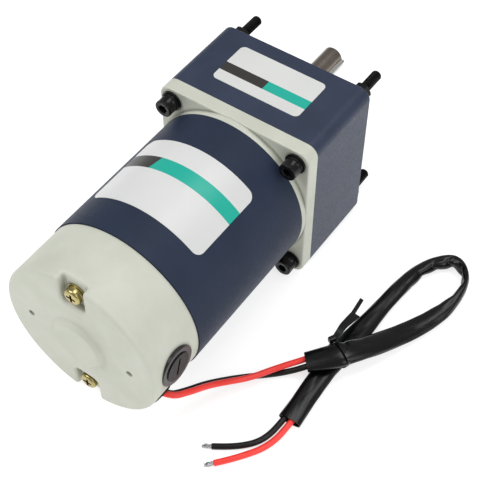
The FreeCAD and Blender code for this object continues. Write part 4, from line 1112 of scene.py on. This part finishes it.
@dataclass
class Wiring:
    """Both leads from the grommet to their bare ends, with the sleeve and its tie."""

    red_route: Route = (
        (30.7, -151.3, -16.9), (38.6, -150.3, -18.4), (43.0, -141.6, -21.4), (45.2, -131.5, -27.6),
        (49.3, -122.7, -32.4), (54.9, -114.8, -34.6), (61.7, -103.6, -34.6), (70.4, -93.3, -32.6),
        (74.2, -88.7, -31.2))
    black_route: Route = (
        (29.9, -148.8, -18.1), (35.7, -148.8, -21.5), (39.6, -141.1, -24.7), (42.4, -131.1, -29.7),
        (46.7, -121.7, -34.6), (52.7, -113.3, -37.4), (60.4, -105.9, -38.3), (66.9, -100.4, -36.8),
        (73.2, -95.6, -32.9), (77.2, -91.4, -31.2))
    sleeve_route: Route = (
        (71.2, -95.1, -32.3), (76.9, -89.9, -30.7), (82.6, -84.3, -29.6), (85.1, -80.6, -30.0),
        (88.3, -75.2, -31.3), (92.0, -67.3, -33.5), (95.9, -58.4, -35.8), (99.9, -49.4, -37.0),
        (103.5, -40.5, -37.2), (106.2, -32.5, -36.8), (107.8, -25.6, -36.2), (108.2, -19.5, -35.8),
        (107.5, -14.4, -35.6), (105.7, -10.5, -35.6), (102.9, -7.3, -35.6), (99.4, -5.3, -35.8),
        (95.7, -5.5, -36.0), (92.2, -8.5, -36.4), (88.6, -12.6, -36.9), (85.7, -18.2, -37.2),
        (84.0, -25.9, -37.3), (82.9, -35.1, -37.4), (82.0, -44.3, -37.4), (81.3, -53.0, -37.4),
        (80.9, -61.9, -37.2), (80.4, -71.7, -36.7), (79.7, -81.9, -36.3), (79.1, -91.6, -36.4),
        (79.3, -107.6, -37.2), (80.1, -121.4, -37.4))
    black_tail: Route = (
        (77.8, -117.6, -37.2), (77.5, -124.6, -37.4), (76.7, -131.2, -38.2), (74.3, -137.2, -38.6),
        (69.7, -142.5, -38.6), (63.8, -147.2, -38.6), (59.6, -149.9, -38.6))
    red_tail: Route = (
        (81.1, -117.6, -37.2), (80.9, -124.6, -37.4), (80.2, -131.6, -38.2), (77.8, -138.6, -38.6),
        (73.4, -145.3, -38.6), (68.8, -151.4, -38.6), (65.0, -155.8, -38.6))

    def build(self) -> list[Object]:
        """Make every piece of the wiring.

        Returns:
            The pieces.
        """
        strands = TinnedEnds((self.red_tail[-2:], self.black_tail[-2:])).build()
        tie = CableTie().build()
        return [
            strands, tie,
            Sleeve(self.sleeve_route, length=228.0).build([tie]),
            Lead("red_lead_to_sleeve", self.red_route, "red_lead", "red_pvc", "object",
                 length=82.7).build(),
            Lead("black_lead_to_sleeve", self.black_route, "black_lead", "black_pvc", "object",
                 length=82.5).build(),
            Lead("red_lead_end", self.red_tail, "red_lead", "red_pvc", "bare",
                 length=43.0).build([strands]),
            Lead("black_lead_end", self.black_tail, "black_lead", "black_pvc", "bare",
                 length=39.6).build([strands]),
        ]


# ---- pieces kept from the solid model ----
@dataclass
class Castings:
    """Every piece that keeps its own mesh, dressed by the record's material slots."""

    replaced: tuple[str, ...] = (
        "mounting_screws", "mounting_spring_washers", "through_bolt_spring_washers", "red_lead",
        "black_lead", "lead_sleeve", "cable_tie", "tinned_ends")

    def dress(self) -> list[Object]:
        """Give each kept piece the finish of its slot.

        Returns:
            The dressed pieces.
        """
        slots = {part["node"]: part["material_slot"] for part in frame["record"]["subparts"]}
        dressed = []
        for name, piece in sorted(frame["nodes"].items()):
            if name in self.replaced:
                continue
            finish = NODE_FINISHES.get(name, SLOT_FINISHES[slots[name]])
            for place in piece.material_slots:
                place.material = finish.material()
            dressed.append(piece)
        return dressed


# ---- studio ----
@dataclass(frozen=True)
class SoftLight:
    """One square soft light: its place, power in watts, side and the place it faces, in mm."""

    name: str
    at: Point
    watts: float
    size: float
    aim: Point = (0.0, -60.0, 0.0)

    def hang(self) -> None:
        """Put the light in the scene."""
        lamp = bpy.data.lights.new(self.name, "AREA")
        lamp.energy = self.watts
        lamp.size = self.size * MM
        holder = link(self.name, lamp)
        holder.location = Vector(self.at) * MM
        way = Vector(self.aim) - Vector(self.at)
        holder.rotation_euler = way.to_track_quat("-Z", "Y").to_euler()


@dataclass
class Studio:
    """Plain pale floor, soft lights and the camera."""

    camera_at: Point = (202.6, -331.7, 386.4)
    look: Point = (-0.36230265, 0.51340649, -0.77791424)
    lens: float = 84.25
    sensor: float = 36.0
    floor_size: float = 16000.0
    floor_colour: str = "#bcbcbc"
    floor_roughness: float = 0.9
    floor_glow: float = 0.72
    white: str = "#ffffff"
    sky: float = 0.42
    lights: tuple[SoftLight, ...] = (
        SoftLight("key", (110, 210, 860), 2.1, 450, (20, -60, 0)),
        SoftLight("fill", (-450, -500, 800), 4.3, 600),
        SoftLight("side", (750, -150, 520), 2.4, 600))

    def floor(self) -> None:
        """Lay the floor under the object."""
        half = self.floor_size / 2
        z = FLOOR_Z - FLOOR_GAP
        corners = np.array([(-half, -half, z), (half, -half, z),
                            (half, half, z), (-half, half, z)]) * MM
        mesh = bpy.data.meshes.new("floor")
        mesh.from_pydata(corners.tolist(), [], [(0, 1, 2, 3)])
        made = bpy.data.materials.new("lit_white_acrylic")
        made.use_nodes = True
        tree = made.node_tree
        tree.nodes.clear()
        shader = add_node(tree, "BsdfPrincipled", {
            "Base Color": linear(self.floor_colour), "Roughness": self.floor_roughness,
            "Specular IOR Level": 0.0, "Emission Color": linear(self.white),
            "Emission Strength": self.floor_glow})
        add_node(tree, "OutputMaterial", {"Surface": shader.outputs[0]})
        mesh.materials.append(made)
        floor = link("floor", mesh)

    def sky_light(self) -> None:
        """Surround the set with even white light."""
        world = bpy.data.worlds.new("white_tent")
        world.use_nodes = True
        tree = world.node_tree
        tree.nodes.clear()
        tent = add_node(tree, "Background", {"Color": linear(self.white), "Strength": self.sky})
        add_node(tree, "OutputWorld", {"Surface": tent.outputs[0]})
        bpy.context.scene.world = world

    def camera(self) -> None:
        """Set up the camera, level and looking down at the motor from behind."""
        data = bpy.data.cameras.new("camera")
        data.lens = self.lens
        data.sensor_width = self.sensor
        holder = link("camera", data)
        holder.location = Vector(self.camera_at) * MM
        holder.rotation_euler = Vector(self.look).to_track_quat("-Z", "Y").to_euler()
        bpy.context.scene.camera = holder

    def build(self) -> None:
        """Set the whole studio."""
        bpy.context.scene.view_settings.view_transform = "Standard"
        self.floor()
        self.sky_light()
        for light in self.lights:
            light.hang()
        self.camera()


def main() -> None:
    """Build the pieces in order and report each."""
    logging.basicConfig(level=logging.INFO, format="%(message)s")
    apart = MountingScrews.spacing
    Studio().build()
    pieces = Wiring().build()
    pieces.append(MountingScrews().build())
    pieces.append(SpringWashers(
        "mounting_split_washers", "mounting_spring_washers", "black_oxide_steel",
        tuple((sx * apart, sz * apart) for sx, sz in CORNERS),
        front=-51.2, rear=-52.4, inner_r=2.65, outer_r=4.4).build())
    pieces.append(SpringWashers(
        "through_bolt_split_washers", "through_bolt_spring_washers", "yellow_zinc_steel",
        ((0.0, -30.8), (0.0, 30.8)),
        front=-156.0, rear=-156.9, inner_r=2.15, outer_r=4.1).build())
    pieces += Castings().dress()
    for piece in pieces:
        LOG.info("piece %s, %s", piece.name, piece.type)


if __name__ == "__main__":
    main()
